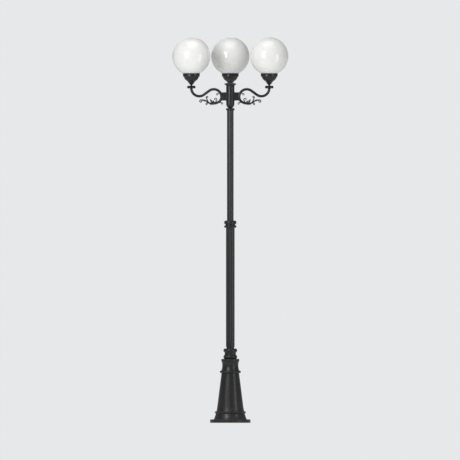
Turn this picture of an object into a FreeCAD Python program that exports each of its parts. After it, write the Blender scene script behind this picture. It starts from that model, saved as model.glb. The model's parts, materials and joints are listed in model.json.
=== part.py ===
import FreeCAD, Part
import math
import os

# A three-headed garden lamp post: a cast base over a ground plate and core tube, a two-step
# fluted pole, a hub with three scrolled arms, and an opal globe on a twist lock at each arm's end.
# All sizes are millimetres, +Z is up, and the origin is on the pole's axis at ground level.

V = FreeCAD.Vector
UP = V(0, 0, 1)
ORIGIN = V(0, 0, 0)
ROUND_MID = 1 - math.sqrt(0.5)  # where a quarter round passes its middle, as a share of its size

# ---------------------------------------------------------------- fits and clearances
body_gap = 0.3            # between pieces that move against each other
pin_play = 0.05           # radial play of a hinge pin or a turning spindle
slip_gap = 0.2            # radial gap where one piece slips over another
tool_over = 1.0           # how far a cutting tool reaches past the face it cuts
edge_bevel = 1.5          # bevel on the base castings' sharp edges
bead_crest = 0.45         # height of a bead's widest ring as a share of the bead

# ---------------------------------------------------------------- heights of the stacked pieces
foot_height = 71.2
foot_bead_height = 24.2
skirt_height = 295.7
waist_height = 21.5
neck_height = 91.4
collar_height = 82.0
shadow_gap = 12.6         # core tube left in sight under the pole
lower_pole_shows = 939.4
mid_ring_height = 56.5
upper_pole_shows = 868.2
top_ring_height = 18.1
hub_height = 174.2
hub_cap_height = 25.0

foot_bead_z = foot_height
skirt_z = foot_bead_z + foot_bead_height
waist_z = skirt_z + skirt_height
neck_z = waist_z + waist_height
collar_z = neck_z + neck_height
lower_pole_z = collar_z + collar_height + shadow_gap
mid_ring_z = lower_pole_z + lower_pole_shows
upper_pole_z = mid_ring_z + mid_ring_height
top_ring_z = upper_pole_z + upper_pole_shows
hub_z = top_ring_z + top_ring_height
hub_cap_z = hub_z + hub_height
finial_z = hub_cap_z + hub_cap_height

# ---------------------------------------------------------------- ground plate and core tube
plate_t = 12.0
plate_inset = 16.0        # from the plate's edge out to the foot of the cove
plate_cable_hole_r = 24.0
anchor_inset = 22.0       # from the plate's edge in to the anchor circle
anchor_hole_r = 9.0
anchor_count = 4
anchor_first = 45.0       # degrees from +X to the first anchor
core_r = 30.15
core_wall = 4.0
core_top_z = 900.0
core_slot_width = 20.0
core_slot_height = 92.0
core_slot_shift = 13.5    # the slot's middle above the middle of the cable's crossing

# ---------------------------------------------------------------- foot and base castings
foot_r = 159.4
foot_rim_height = 27.3
foot_rim_round = 5.0
foot_wall = 8.0
foot_inner_r = 142.0
foot_slant_wall = 8.8     # the cove's wall, measured on the level
cove_low_r = 128.0
cove_top_r = 115.0
cove_toe_width = 5.0
cove_toe_height = 6.7
cove_hollow = 1.2
plate_r = cove_low_r - plate_inset
anchor_circle_r = plate_r - anchor_inset
foot_bead_r = 122.5
foot_bead_edge_r = 110.0
foot_bead_bore_r = 97.0
foot_bead_lip = 4.0
foot_bead_step = 2.0      # the bead's shoulders stand out this far from the edges beside them
skirt_wall = 6.0
skirt_low_r = 108.5
skirt_flare_height = 41.6
skirt_flare_r = 101.5
skirt_flare_sag = 0.42    # share of the flare's fall still to come at half its height
skirt_top_r = 69.5
skirt_groove_count = 8
skirt_groove_r = 3.5
skirt_groove_sink = 1.6   # how far the groove's round tool sinks below the surface
skirt_groove_low = 48.0   # groove ends, measured from the skirt's two ends
skirt_groove_high = 30.0
waist_r = 82.8
waist_edge_r = 72.0
neck_low_r = 71.0
neck_waist_r = 63.4
neck_waist_at = 0.62      # height of the neck's waist as a share of its hollow side
neck_top_r = 68.0
neck_wall = 6.5
neck_web = 9.0            # thickness of the neck's inner flange at its top
neck_hole_gap = 8.0       # between the core tube and the neck's inner flange
band_height = 20.4
band_r = 70.6
bead_low_r = 54.1
bead_low_height = 32.4
bead_gap_r = 44.5
bead_gap_lip = 1.5
bead_gap_height = 20.2
bead_high_r = 54.4
bead_shoulder = 6.0
bead_high_top = 8.0       # the upper bead's top edge inside its widest ring

# ---------------------------------------------------------------- pole
lower_pole_r = 34.1
upper_pole_r = 26.1
pole_wall = 3.5
flute_count = 8
flute_r = 2.6
flute_sink = 1.3
flute_plain_foot = 32.0   # the lower pole's flutes stop this far above its bottom edge
pole_overlap = 170.0      # the upper pole reaches this far down inside the lower one
bush_height = 22.0
bush_lip = 5.0
seat_height = 18.0
mid_ring_bead_r = 48.8
mid_ring_shoulder = 5.0
mid_ring_low_height = 18.6
mid_ring_groove_height = 9.4
mid_ring_groove_r = 38.6
mid_ring_crest_drop = 2.0  # the upper bead's widest ring below its middle
mid_ring_top_inset = 3.0
mid_ring_socket = 8.0
top_ring_r = 34.4
top_ring_shoulder = 3.2
top_ring_plug = 45.0

# ---------------------------------------------------------------- hub, cap and finial
hub_r = 32.8
hub_bore_r = 24.0
hub_foot_r = 14.7
hub_bowl_height = 31.0
hub_bowl_mid_r = 27.0
hub_bowl_mid_z = 13.0
hub_floor = 22.0
hub_floor_slope = 10.0
hub_spigot_r = 13.8
hub_spigot_length = 60.0
hub_cable_r = 9.0
boss_centre = 92.7        # height of the bosses' centre above the hub's foot
boss_height = 65.0
boss_width = 32.0
boss_reach = 59.5
boss_root_r = 20.0
boss_root_round = 5.0
tenon_height = 48.0
tenon_width = 17.0
tenon_length = 22.0
hub_cap_foot_height = 2.0
hub_cap_neck_r = 33.8
hub_cap_flare_r = 38.4    # the flare's middle
hub_cap_flare_z = 8.5
hub_cap_lip_r = 49.0
hub_cap_lip_z = 14.5
hub_cap_lip_depth = 2.5
hub_cap_lip_half = 3.2
hub_cap_crown_r = 37.7    # the crown's middle
hub_cap_crown_drop = 3.0
hub_cap_top_r = 31.7
hub_cap_plug = 10.0
finial_ball_r = 12.6
finial_height = 29.0
finial_foot_r = 15.5
finial_foot_height = 1.6
finial_neck_r = 9.2
finial_neck_z = 3.4
finial_waist_r = 7.8
finial_stud_r = 4.0
finial_stud_length = 22.0

# ---------------------------------------------------------------- scrolled arm
arm_reach = 307.0         # from the pole's axis to a head's axis
arm_r = 10.4
arm_rise = 63.5           # height of the arm's end above the bosses' centre
arm_straight = 53.2       # straight run between the scroll and the U turn
u_turn_share = 0.508      # the U turn's share of the two curves' radii
scroll_tightening = 0.867  # the scroll's lower radius against its upper one
scroll_back = 70.0        # distance of the scroll's back from the pole's axis
scroll_drop = 3.5         # scroll centre below the bosses' centre
scroll_low_turn = 55.0    # degrees of the scroll's lower arc
arm_span = arm_reach - scroll_back
arm_climb = arm_rise + scroll_drop
arm_curves_r = (arm_span ** 2 + arm_climb ** 2 - arm_straight ** 2) / (2 * arm_span)
u_turn_r = arm_curves_r * u_turn_share
scroll_top_r = arm_curves_r - u_turn_r
scroll_low_r = scroll_top_r * scroll_tightening
palm_depth = 10.5
palm_width = 17.0
bore_r = 4.0              # the arm's cored wire way
wire_r = 2.5
wire_bend_r = 24.0
wire_bend = 60.0          # degrees from the level way to the scroll's arc
wire_end = 4.0            # the wire ends this far above the lamp holder's foot

# ---------------------------------------------------------------- scroll work under the arm
# A curl is: where it roots, out and up from a joint, and its heading; its straight run; and its
# turns, each a radius and degrees, to the left when positive.
curl_r = 3.4
curl_tip_r = 2.3
curl_ball_r = 3.7
arm_inner_out = 17.7      # the two curls on the arm itself
arm_inner_up = 29.0
arm_inner_run = 17.0
arm_inner_turn_r = 6.0
arm_outer_in = 7.0
arm_outer_run = 21.5
arm_outer_turn_r = 6.0
first_run = 28.3          # the curls on the winding stem
first_wide_r = 11.0
first_tight_r = 6.0
third_run = 41.8
third_wide_r = 8.5
third_tight_r = 5.0
low_in = 7.0
low_down = 3.5
low_run = 18.6
low_wide_r = 8.0
low_tight_r = 4.5
arm_inner_curl = ((arm_inner_out, arm_inner_up, -10.0), arm_inner_run, ((arm_inner_turn_r, -250.0),))
arm_outer_curl = ((-arm_outer_in, 0.0, 190.0), arm_outer_run, ((arm_outer_turn_r, 250.0),))
first_curl = ((0.0, 0.0, 122.6), first_run, ((first_wide_r, -150.0), (first_tight_r, -130.0)))
third_curl = ((0.0, 0.0, 64.9), third_run, ((third_wide_r, 130.0), (third_tight_r, 150.0)))
low_curl = ((-low_in, -low_down, 3.1), low_run, ((low_wide_r, -130.0), (low_tight_r, -130.0)))
stem_r = 10.0             # the winding stem tapers from the arm's end to its own curled end
stem_tip_r = 3.2
stem_first = (8.0, 45.0, 33.0)    # stretches of the stem: a run, then a turn's radius and degrees
stem_middle = (24.0, 42.0, 36.0)
stem_rise = 22.0
stem_level = (50.0, -34.0, 14.0)  # a turn's radius and degrees, then a run
stem_curl = (8.5, -290.0)
long_leaf = (-10.0, 0.0, 56.0, 42.0, 8.0)  # root out and up from a joint, heading, length, half width
short_leaf = (2.0, 0.0, 66.0, 26.0, 6.0)
leaf_half_thick = 3.2
leaf_widest = 0.45        # where a leaf is widest, as a share of its length
berry_drop = 7.5          # berries' centres below the stem's first joint
berries = ((11.0, 4.8), (22.5, 5.2), (33.5, 4.6))  # distance past the first joint, and radius

# ---------------------------------------------------------------- head
calyx_height = 6.0
calyx_lobe_r = 10.5
calyx_lobe_circle = 22.0
calyx_lobes = 6
calyx_valley = 3.0        # depth of the valleys inside the lobes' circle
calyx_droop = 5.0
calyx_rise = 19.0
calyx_root_rise = 1.5
calyx_belly_low = 0.72    # where the lobes' lower and upper faces bulge, as shares of their reach
calyx_belly_high = 0.78
calyx_belly_out = 0.5
calyx_collar = 3.0        # the calyx's top ring, outside the stem's foot
calyx_collar_height = 2.0
nipple_r = 5.0
nipple_bore_r = 3.5
nipple_grip = 10.0        # length of the nipple screwed into the arm
nipple_end = 8.0          # length of the nipple screwed into the lamp holder
head_stem_height = 30.0
head_stem_foot_r = 9.5
head_stem_foot_height = 2.0
head_stem_waist_r = 7.0
head_stem_waist_at = 0.38
head_stem_top_r = 14.0
cup_height = 52.5
cup_top_r = 58.5
cup_wall = 2.5
cup_slant_wall = 3.25     # the bowl's wall, measured on the level
cup_knee_at = 0.39        # the knee between hollow and belly, as a share of the bowl
cup_knee_hollow_r = 7.0
cup_knee_hollow_z = 9.5
cup_belly_at = 0.68
cup_belly_r = 50.0
cup_belly_lift = 1.0      # the inner face sits this far above the outer one at the belly
cup_knee_lift = 1.5       # and this far at the knee
cup_core_wall = 4.0       # the solid round the nipple
cup_core_height = 14.0
gallery_height = 31.5
gallery_r = 66.4
gallery_rim_r = 69.6
gallery_rim_over = 3.0    # the rim is drawn this much too high, then cut by the globe's ball
gallery_wall = 2.9
gallery_floor = 2.5
gallery_foot_inset = 2.0
gallery_chamfer = 7.5
gallery_straight = 0.6    # share of the height where the wall stands straight
gallery_flare_at = 0.82
gallery_flare = 0.6
flange_height = 18.5      # underside of the gallery's inner flange above its foot
flange_t = 2.0
nut_height = 6.0
nut_r = 9.8

# ---------------------------------------------------------------- globe and its twist lock
globe_r = 150.0
globe_wall = 3.0
globe_centre_rise = 164.5  # globe centre above the gallery's foot
globe_neck_r = 57.5
globe_neck_drop = 10.5     # neck's lower edge above the gallery's foot
seat_gap = 0.5             # between the gallery's rim and the globe
lock_count = 3
lug_angle = 18.0
lug_height = 4.2
lug_r = 62.3
lock_turn = 40.0
notch_angle = 24.0
stop_angle = 4.0
stop_play = 1.5
stop_inset = 2.5
gasket_height = 12.0
gasket_side_gap = 0.6

# ---------------------------------------------------------------- lamp
holder_foot = 11.5         # lamp holder's foot above the gallery's foot
holder_height = 52.0
holder_r = 20.5
holder_neck_r = 14.0
holder_neck_bulge_r = 15.6
holder_neck_bulge_z = 9.0
holder_step_at = 0.38
holder_rim_height = 6.0
holder_rim_inset = 2.0
lamp_cap_r = 13.2
lamp_cap_height = 25.0
lamp_cap_play = 0.4
lamp_cap_shows = 3.0       # the cap's top above the holder's
lamp_cap_button_r = 5.0
lamp_cap_button_height = 4.0
lamp_cap_shoulder = 2.0
bulb_r = 30.0
bulb_height = 86.0
bulb_neck_r = 14.7
bulb_neck_bulge_r = 16.9
bulb_neck_bulge_z = 16.0
bulb_meet_angle = -28.0    # where neck and ball meet, degrees from the ball's middle
bulb_crown_angle = 30.0

# ---------------------------------------------------------------- wiring in the base
cable_r = 4.5
cable_lead = 12.0          # straight cable above the terminal block
cable_bend_r = 45.0
cable_bend = 45.0
block_y = 47.0
block_depth = 15.0
block_width = 36.0
block_height = 80.0
block_z = 200.0
block_ways = 5
clamp_hole_r = 2.6
clamp_hole_depth = 6.0
slit_depth = 4.0
slit_half = 0.8
bracket_width = 44.0
bracket_t = 3.0
bracket_low_margin = 10.0
bracket_high_margin = 5.0
splice_r = 9.5
splice_height = 34.0

# ---------------------------------------------------------------- service door at the back
door_low = 54.6            # above the skirt's lower edge
door_height = 200.0
door_half_angle = 17.0
door_gap = 0.8
doorway_inner_gap = 5.0    # the doorway's wedge starts this far outside the core tube
doorway_over = 20.0        # and ends this far outside the skirt
knuckle_r = 4.6
knuckle_length = 12.0
knuckle_out = 2.0          # hinge axis in front of the skirt's surface
knuckle_pocket_gap = 0.5
hinge_pin_r = 2.0
hinge_inset = 36.0         # hinges from the door's lower and upper edges
bore_over = 5.0            # how far a bore's tool reaches past the piece
lock_offset_angle = 9.0
lock_barrel_r = 6.0
lock_head_r = 8.0
lock_head_t = 2.0
lock_tool_reach = 20.0
key_corners = 3
key_r = 4.2
key_depth = 6.0
cam_length = 24.0
cam_width = 9.0
cam_t = 3.0
cam_depth = 8.0            # from the door's inner face to the cam

# ---------------------------------------------------------------- set screws
screw_r = 3.0
screw_length = 8.0
ring_screw_count = 2
ring_screw_angle = 90.0    # the first of a ring's screws is at the back, the other in front

HEADS = {"left": 180.0, "right": 0.0, "rear": 90.0}


# ================================================================ drawing helpers
class Outline:
    """A closed outline in the radius-height plane, drawn one edge at a time."""

    def __init__(self, r, z):
        self.first = V(r, 0, z)
        self.here = self.first
        self.edges = []

    def to(self, r, z):
        point = V(r, 0, z)
        self.edges.append(Part.LineSegment(self.here, point).toShape())
        self.here = point
        return self

    def arc(self, via_r, via_z, r, z):
        point = V(r, 0, z)
        self.edges.append(Part.Arc(self.here, V(via_r, 0, via_z), point).toShape())
        self.here = point
        return self

    def face(self):
        if self.here.distanceToPoint(self.first) > 1e-6:
            self.to(self.first.x, self.first.z)
        return Part.Face(Part.Wire(self.edges))

    def spin(self):
        return self.face().revolve(ORIGIN, UP, 360)


class Trail:
    """A path of straight runs and tangent arcs in the radius-height plane."""

    def __init__(self, r, z, heading):
        self.here = V(r, 0, z)
        self.start = self.here
        self.heading = heading
        self.first_heading = heading
        self.edges = []

    def direction(self, heading):
        return V(math.cos(math.radians(heading)), 0, math.sin(math.radians(heading)))

    def run(self, length):
        point = self.here + self.direction(self.heading) * length
        self.edges.append(Part.LineSegment(self.here, point).toShape())
        self.here = point
        return self

    def turn(self, radius, degrees):
        """Turns left for positive degrees and right for negative ones."""
        side = 1 if degrees > 0 else -1
        centre = self.here + self.direction(self.heading + 90 * side) * radius
        middle = centre + self.direction(self.heading - 90 * side + degrees / 2) * radius
        end = centre + self.direction(self.heading - 90 * side + degrees) * radius
        self.edges.append(Part.Arc(self.here, middle, end).toShape())
        self.here = end
        self.heading += degrees
        return self

    def pipe(self, start_r, end_r=None):
        shell = Part.BRepOffsetAPI.MakePipeShell(Part.Wire(self.edges))
        shell.add(self.ring(self.start, self.first_heading, start_r))
        if end_r is not None:
            shell.add(self.ring(self.here, self.heading, end_r))
        shell.build()
        shell.makeSolid()
        return shell.shape()

    def ring(self, point, heading, radius):
        return Part.Wire([Part.makeCircle(radius, point, self.direction(heading))])


def tube(outer_r, inner_r, low_z, high_z):
    outer = Part.makeCylinder(outer_r, high_z - low_z, V(0, 0, low_z))
    inner = Part.makeCylinder(inner_r, high_z - low_z, V(0, 0, low_z))
    return outer.cut(inner)


def block(low, high):
    return Part.makeBox(high[0] - low[0], high[1] - low[1], high[2] - low[2], V(*low))


def prism(corner_count, corner_r, low_z, height):
    """An upright prism with equal sides."""
    corners = []
    for step in range(corner_count + 1):
        angle = 2 * math.pi * step / corner_count
        corners.append(V(corner_r * math.cos(angle), corner_r * math.sin(angle), low_z))
    return Part.Face(Part.makePolygon(corners)).extrude(V(0, 0, height))


def turned(shape, degrees):
    copy = shape.copy()
    copy.rotate(ORIGIN, UP, degrees)
    return copy


def around(shape, count, first=0.0):
    """Copies of a shape at equal steps round the pole's axis."""
    return [turned(shape, first + 360.0 / count * step) for step in range(count)]


def sector(inner_r, outer_r, low_z, high_z, centre_angle, angle):
    """A slice of a ring, centred on an angle."""
    outer = Part.makeCylinder(outer_r, high_z - low_z, V(0, 0, low_z), UP, angle)
    inner = Part.makeCylinder(inner_r, high_z - low_z, V(0, 0, low_z), UP, angle)
    return turned(outer.cut(inner), centre_angle - angle / 2)


def joined(pieces):
    return pieces[0].multiFuse(pieces[1:]).removeSplitter()


def at_head(shape, angle):
    """Moves a piece built on the axis out to a head and turns it to its side of the post."""
    copy = shape.copy()
    copy.translate(V(arm_reach, 0, 0))
    return turned(copy, angle)


# ================================================================ ground plate, core tube
def ground_plate():
    plate = Part.makeCylinder(plate_r, plate_t)
    holes = [Part.makeCylinder(plate_cable_hole_r, plate_t)]
    hole = Part.makeCylinder(anchor_hole_r, plate_t, V(anchor_circle_r, 0, 0))
    holes += around(hole, anchor_count, anchor_first)
    return plate.cut(holes)


def cable_cross_z():
    """Height at which the supply cable crosses the core tube's wall."""
    return cable_start_z() + cable_rise() / 2 + core_slot_shift


def core_tube():
    body = tube(core_r, core_r - core_wall, plate_t, core_top_z)
    slot_low = cable_cross_z() - core_slot_height / 2
    slot = block((-core_slot_width / 2, 0, slot_low),
                 (core_slot_width / 2, core_r + tool_over, slot_low + core_slot_height))
    return body.cut(slot)


def pole_seat():
    """A ring welded inside the lower pole, which hangs the pole on the core tube's top."""
    bore = lower_pole_r - pole_wall
    return tube(bore, core_r - core_wall, core_top_z, core_top_z + seat_height)


# ================================================================ base castings
def foot():
    cove_z = foot_rim_height + cove_toe_height
    middle_r = (cove_low_r + cove_top_r) / 2 - cove_hollow
    middle_z = (cove_z + foot_height) / 2
    rim_flat_r = foot_r - foot_rim_round
    skin = foot_slant_wall
    outline = Outline(foot_inner_r, 0).to(foot_r - edge_bevel, 0).to(foot_r, edge_bevel)
    outline.to(foot_r, foot_rim_height - foot_rim_round)
    corner = foot_rim_round * ROUND_MID
    outline.arc(foot_r - corner, foot_rim_height - corner, rim_flat_r, foot_rim_height)
    outline.to(cove_low_r + cove_toe_width, foot_rim_height)
    outline.arc(cove_low_r + cove_toe_width * ROUND_MID, foot_rim_height + cove_toe_height * ROUND_MID,
                cove_low_r, cove_z)
    outline.arc(middle_r, middle_z, cove_top_r, foot_height)
    outline.to(foot_bead_bore_r, foot_height).to(foot_bead_bore_r, foot_height - foot_wall)
    outline.to(cove_top_r - skin, foot_height - foot_wall)
    outline.arc(middle_r - skin, middle_z, cove_low_r - skin, foot_rim_height)
    outline.to(cove_low_r - skin, foot_rim_height - foot_wall)
    outline.to(foot_inner_r, foot_rim_height - foot_wall)
    return outline.spin()


def foot_bead():
    low = foot_bead_z
    high = low + foot_bead_height
    low_shoulder_r = cove_top_r + foot_bead_step
    outline = Outline(foot_bead_bore_r, low).to(low_shoulder_r, low)
    outline.to(low_shoulder_r, low + foot_bead_lip)
    outline.arc(foot_bead_r, low + foot_bead_height * bead_crest,
                foot_bead_edge_r + foot_bead_step, high - foot_bead_lip)
    outline.to(foot_bead_edge_r, high - foot_bead_lip).to(foot_bead_edge_r, high)
    outline.to(foot_bead_bore_r, high)
    return outline.spin()


def skirt_fall():
    """How much the skirt's radius falls for each millimetre of height."""
    return (skirt_flare_r - skirt_top_r) / (skirt_height - skirt_flare_height)


def skirt_radius(z):
    """Outer radius of the skirt's straight taper at a height."""
    return skirt_flare_r - skirt_fall() * (z - skirt_z - skirt_flare_height)


def skirt_shell():
    flare_z = skirt_z + skirt_flare_height
    top_z = skirt_z + skirt_height
    middle_z = skirt_z + skirt_flare_height / 2
    middle_r = skirt_flare_r + (skirt_low_r - skirt_flare_r) * skirt_flare_sag
    outline = Outline(skirt_low_r, skirt_z)
    outline.arc(middle_r, middle_z, skirt_flare_r, flare_z)
    outline.to(skirt_top_r, top_z).to(skirt_top_r - skirt_wall, top_z)
    outline.to(skirt_flare_r - skirt_wall, flare_z)
    outline.arc(middle_r - skirt_wall, middle_z, skirt_low_r - skirt_wall, skirt_z)
    return outline.spin()


def skirt_groove():
    """The round tool that cuts one groove along the skirt's slope, in front of +X."""
    low_z = skirt_z + skirt_groove_low
    high_z = skirt_z + skirt_height - skirt_groove_high
    out = skirt_groove_r - skirt_groove_sink
    low = V(skirt_radius(low_z) + out, 0, low_z)
    high = V(skirt_radius(high_z) + out, 0, high_z)
    run = high - low
    tool = Part.makeCylinder(skirt_groove_r, run.Length, low, run)
    return joined([tool, Part.makeSphere(skirt_groove_r, low), Part.makeSphere(skirt_groove_r, high)])


def doorway(gap):
    """The wedge of space that the door fills, grown by a gap on every side."""
    low_z = skirt_z + door_low - gap
    high_z = skirt_z + door_low + door_height + gap
    reach = skirt_low_r + doorway_over
    wedge = sector(core_r + doorway_inner_gap, reach, low_z, high_z, 90.0, 2 * door_half_angle)
    if gap > 0:
        side = block((-gap, 0, low_z), (0, reach, high_z))
        other = side.mirror(ORIGIN, V(1, 0, 0))
        wedge = wedge.fuse([turned(side, door_half_angle), turned(other, -door_half_angle)])
    return wedge


def hinge_line():
    """A point on the hinge axis at the door's lower edge, the axis direction and its length."""
    points = []
    for z in (skirt_z + door_low, skirt_z + door_low + door_height):
        r = skirt_radius(z) + knuckle_out
        angle = math.radians(90.0 + door_half_angle)
        points.append(V(r * math.cos(angle), r * math.sin(angle), z))
    axis = points[1] - points[0]
    return points[0], axis.normalize(), points[1].distanceToPoint(points[0])


def on_hinge(radius, start, length):
    """A cylinder round the hinge axis, from a distance along it."""
    foot_point, axis, _ = hinge_line()
    return Part.makeCylinder(radius, length, foot_point + axis * start, axis)


def hinge_starts():
    length = hinge_line()[2]
    return (hinge_inset - knuckle_length / 2, length - hinge_inset - knuckle_length / 2)


def skirt():
    body = skirt_shell()
    body = body.cut(around(skirt_groove(), skirt_groove_count, 180.0 / skirt_groove_count))
    body = body.cut(doorway(door_gap))
    pocket_r = knuckle_r + knuckle_pocket_gap
    for start in hinge_starts():
        body = body.cut(on_hinge(pocket_r, start - body_gap, knuckle_length + 2 * body_gap))
        for side in (start - body_gap - knuckle_length, start + knuckle_length + body_gap):
            body = body.fuse(on_hinge(knuckle_r, side, knuckle_length))
        bore = on_hinge(hinge_pin_r + pin_play, start - knuckle_length - bore_over,
                        3 * knuckle_length + 2 * bore_over)
        body = body.cut(bore)
    return body


def door():
    body = skirt_shell().common(doorway(0.0))
    pocket_r = knuckle_r + knuckle_pocket_gap
    for start in hinge_starts():
        for side in (start - 2 * body_gap - knuckle_length, start + knuckle_length):
            body = body.cut(on_hinge(pocket_r, side, knuckle_length + 2 * body_gap))
        body = body.fuse(on_hinge(knuckle_r, start, knuckle_length))
        body = body.cut(on_hinge(hinge_pin_r + pin_play, start - bore_over,
                                 knuckle_length + 2 * bore_over))
    centre, out = lock_frame()
    barrel = Part.makeCylinder(lock_barrel_r + pin_play, 2 * lock_tool_reach,
                               centre - out * lock_tool_reach, out)
    sink = Part.makeCylinder(lock_head_r + body_gap, lock_tool_reach, centre - out * lock_head_t, out)
    return body.cut([barrel, sink])


def hinge_pins():
    pins = []
    for start in hinge_starts():
        pins.append(on_hinge(hinge_pin_r, start - knuckle_length - body_gap,
                             3 * knuckle_length + 2 * body_gap))
    return Part.makeCompound(pins)


def lock_frame():
    """Centre of the lock on the door's outer face, and the face's outward direction."""
    z = skirt_z + door_low + door_height / 2
    angle = math.radians(90.0 - lock_offset_angle)
    lean = math.atan(skirt_fall())
    radial = V(math.cos(angle), math.sin(angle), 0)
    out = radial * math.cos(lean) + UP * math.sin(lean)
    return radial * skirt_radius(z) + UP * z, out


def door_lock():
    """Barrel with a three-sided key recess, and the cam that swings behind the door's frame."""
    centre, out = lock_frame()
    inner = skirt_wall + cam_depth + cam_t
    head_t = lock_head_t - body_gap
    barrel = Part.makeCylinder(lock_barrel_r, inner, centre - out * inner, out)
    head = Part.makeCylinder(lock_head_r, head_t, centre - out * head_t, out)
    recess = prism(key_corners, key_r, -key_depth, key_depth)
    recess.Placement = FreeCAD.Placement(centre, FreeCAD.Rotation(UP, out))
    along = UP - out * UP.dot(out)
    along.normalize()
    cam = Part.makeBox(cam_length, cam_width, cam_t, V(-cam_width / 2, -cam_width / 2, 0))
    frame = FreeCAD.Rotation(along, out.cross(along), out, "XZY")
    cam.Placement = FreeCAD.Placement(centre - out * inner, frame)
    return joined([barrel, head, cam]).cut(recess)


def waist_ring():
    """A half-round bead with short square shoulders."""
    high = waist_z + waist_height
    bore = skirt_top_r - skirt_wall
    outline = Outline(bore, waist_z).to(waist_edge_r, waist_z)
    outline.arc(waist_r, (waist_z + high) / 2, waist_edge_r, high).to(bore, high)
    return outline.spin()


def neck():
    low = neck_z
    high = collar_z
    band_low = high - band_height
    middle = low + (band_low - low) * neck_waist_at
    inner = neck_waist_r - neck_wall
    hole = core_r + neck_hole_gap
    outline = Outline(neck_low_r - neck_wall, low).to(neck_low_r, low)
    outline.arc(neck_waist_r, middle, neck_top_r, band_low)
    outline.to(band_r, band_low + edge_bevel).to(band_r, high - edge_bevel)
    outline.to(band_r - edge_bevel, high).to(hole, high).to(hole, high - neck_web)
    outline.to(inner, high - neck_web).to(inner, middle)
    return outline.spin()


def bead_collar():
    """Two beads with a neck between, bored to slip over the core tube."""
    low = collar_z
    low_top = low + bead_low_height
    high_foot = low_top + bead_gap_height
    high = low + collar_height
    bore = core_r + slip_gap
    outline = Outline(bore, low).to(bead_low_r - bead_shoulder, low)
    outline.arc(bead_low_r, low + bead_low_height * bead_crest, bead_gap_r + bead_gap_lip, low_top)
    outline.to(bead_gap_r, low_top).to(bead_gap_r, high_foot)
    outline.to(bead_high_r - bead_shoulder, high_foot)
    outline.arc(bead_high_r, (high_foot + high) / 2, bead_high_r - bead_high_top, high)
    outline.to(bore, high)
    return outline.spin().cut(ring_screw_holes(bead_high_r, collar_screw_z()))


# ================================================================ pole
def flutes(pole_r, low_z, high_z):
    tool = Part.makeCylinder(flute_r, high_z - low_z, V(pole_r + flute_r - flute_sink, 0, low_z))
    return around(tool, flute_count, 90)


def lower_pole():
    top = mid_ring_z + mid_ring_socket
    body = tube(lower_pole_r, lower_pole_r - pole_wall, lower_pole_z, top)
    return body.cut(flutes(lower_pole_r, lower_pole_z + flute_plain_foot, top + tool_over))


def upper_pole_foot():
    return mid_ring_z - pole_overlap


def upper_pole():
    """Round inside the lower pole and in the ring, fluted where it shows."""
    body = tube(upper_pole_r, upper_pole_r - pole_wall, upper_pole_foot(), top_ring_z)
    return body.cut(flutes(upper_pole_r, upper_pole_z, top_ring_z + tool_over))


def pole_bushes():
    """Two rings that centre the upper pole in the lower one; the lower ring carries its foot."""
    outer = lower_pole_r - pole_wall
    foot_z = upper_pole_foot()
    outline = Outline(upper_pole_r - pole_wall, foot_z - bush_lip).to(outer, foot_z - bush_lip)
    outline.to(outer, foot_z + bush_height).to(upper_pole_r, foot_z + bush_height)
    outline.to(upper_pole_r, foot_z).to(upper_pole_r - pole_wall, foot_z)
    high = tube(outer, upper_pole_r, mid_ring_z - bush_height, mid_ring_z)
    return Part.makeCompound([outline.spin(), high])


def mid_ring():
    low = mid_ring_z
    groove_low = low + mid_ring_low_height
    groove_high = groove_low + mid_ring_groove_height
    top = low + mid_ring_height
    bore = upper_pole_r + slip_gap
    socket = lower_pole_r + slip_gap
    edge = mid_ring_bead_r - mid_ring_shoulder
    outline = Outline(socket, low).to(edge, low)
    outline.arc(mid_ring_bead_r, (low + groove_low) / 2, edge, groove_low)
    outline.to(mid_ring_groove_r, groove_low).to(mid_ring_groove_r, groove_high)
    outline.to(edge, groove_high)
    outline.arc(mid_ring_bead_r, (groove_high + top) / 2 - mid_ring_crest_drop,
                edge - mid_ring_top_inset, top)
    outline.to(bore, top).to(bore, low + mid_ring_socket).to(socket, low + mid_ring_socket)
    return outline.spin().cut(ring_screw_holes(mid_ring_bead_r, mid_screw_z()))


def top_ring():
    """Ring on the pole's top with a plug inside the pole and a socket for the hub."""
    low = top_ring_z
    high = hub_z
    bore = hub_spigot_r + slip_gap
    plug = upper_pole_r - pole_wall
    edge = top_ring_r - top_ring_shoulder
    outline = Outline(bore, low - top_ring_plug).to(plug, low - top_ring_plug).to(plug, low)
    outline.to(edge, low)
    outline.arc(top_ring_r, (low + high) / 2, edge, high)
    outline.to(bore, high)
    return outline.spin().cut(ring_screw_holes(top_ring_r, top_screw_z()))


# ================================================================ hub, cap, finial
def boss_z():
    return hub_z + boss_centre


def boss():
    """One rectangular socket boss on +X, with a splayed root against the hub."""
    low = boss_z() - boss_height / 2
    high = boss_z() + boss_height / 2
    corner = boss_root_round * ROUND_MID
    outline = Outline(boss_root_r, low - boss_root_round).to(hub_r, low - boss_root_round)
    outline.arc(hub_r + corner, low - corner, hub_r + boss_root_round, low)
    outline.to(boss_reach, low).to(boss_reach, high).to(hub_r + boss_root_round, high)
    outline.arc(hub_r + corner, high + corner, hub_r, high + boss_root_round)
    outline.to(boss_root_r, high + boss_root_round)
    body = outline.face().extrude(V(0, boss_width, 0))
    body.translate(V(0, -boss_width / 2, 0))
    return body


def boss_socket():
    half = tenon_height / 2 + slip_gap
    wide = tenon_width / 2 + slip_gap
    return block((hub_bore_r / 2, -wide, boss_z() - half),
                 (boss_reach + tool_over, wide, boss_z() + half))


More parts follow.
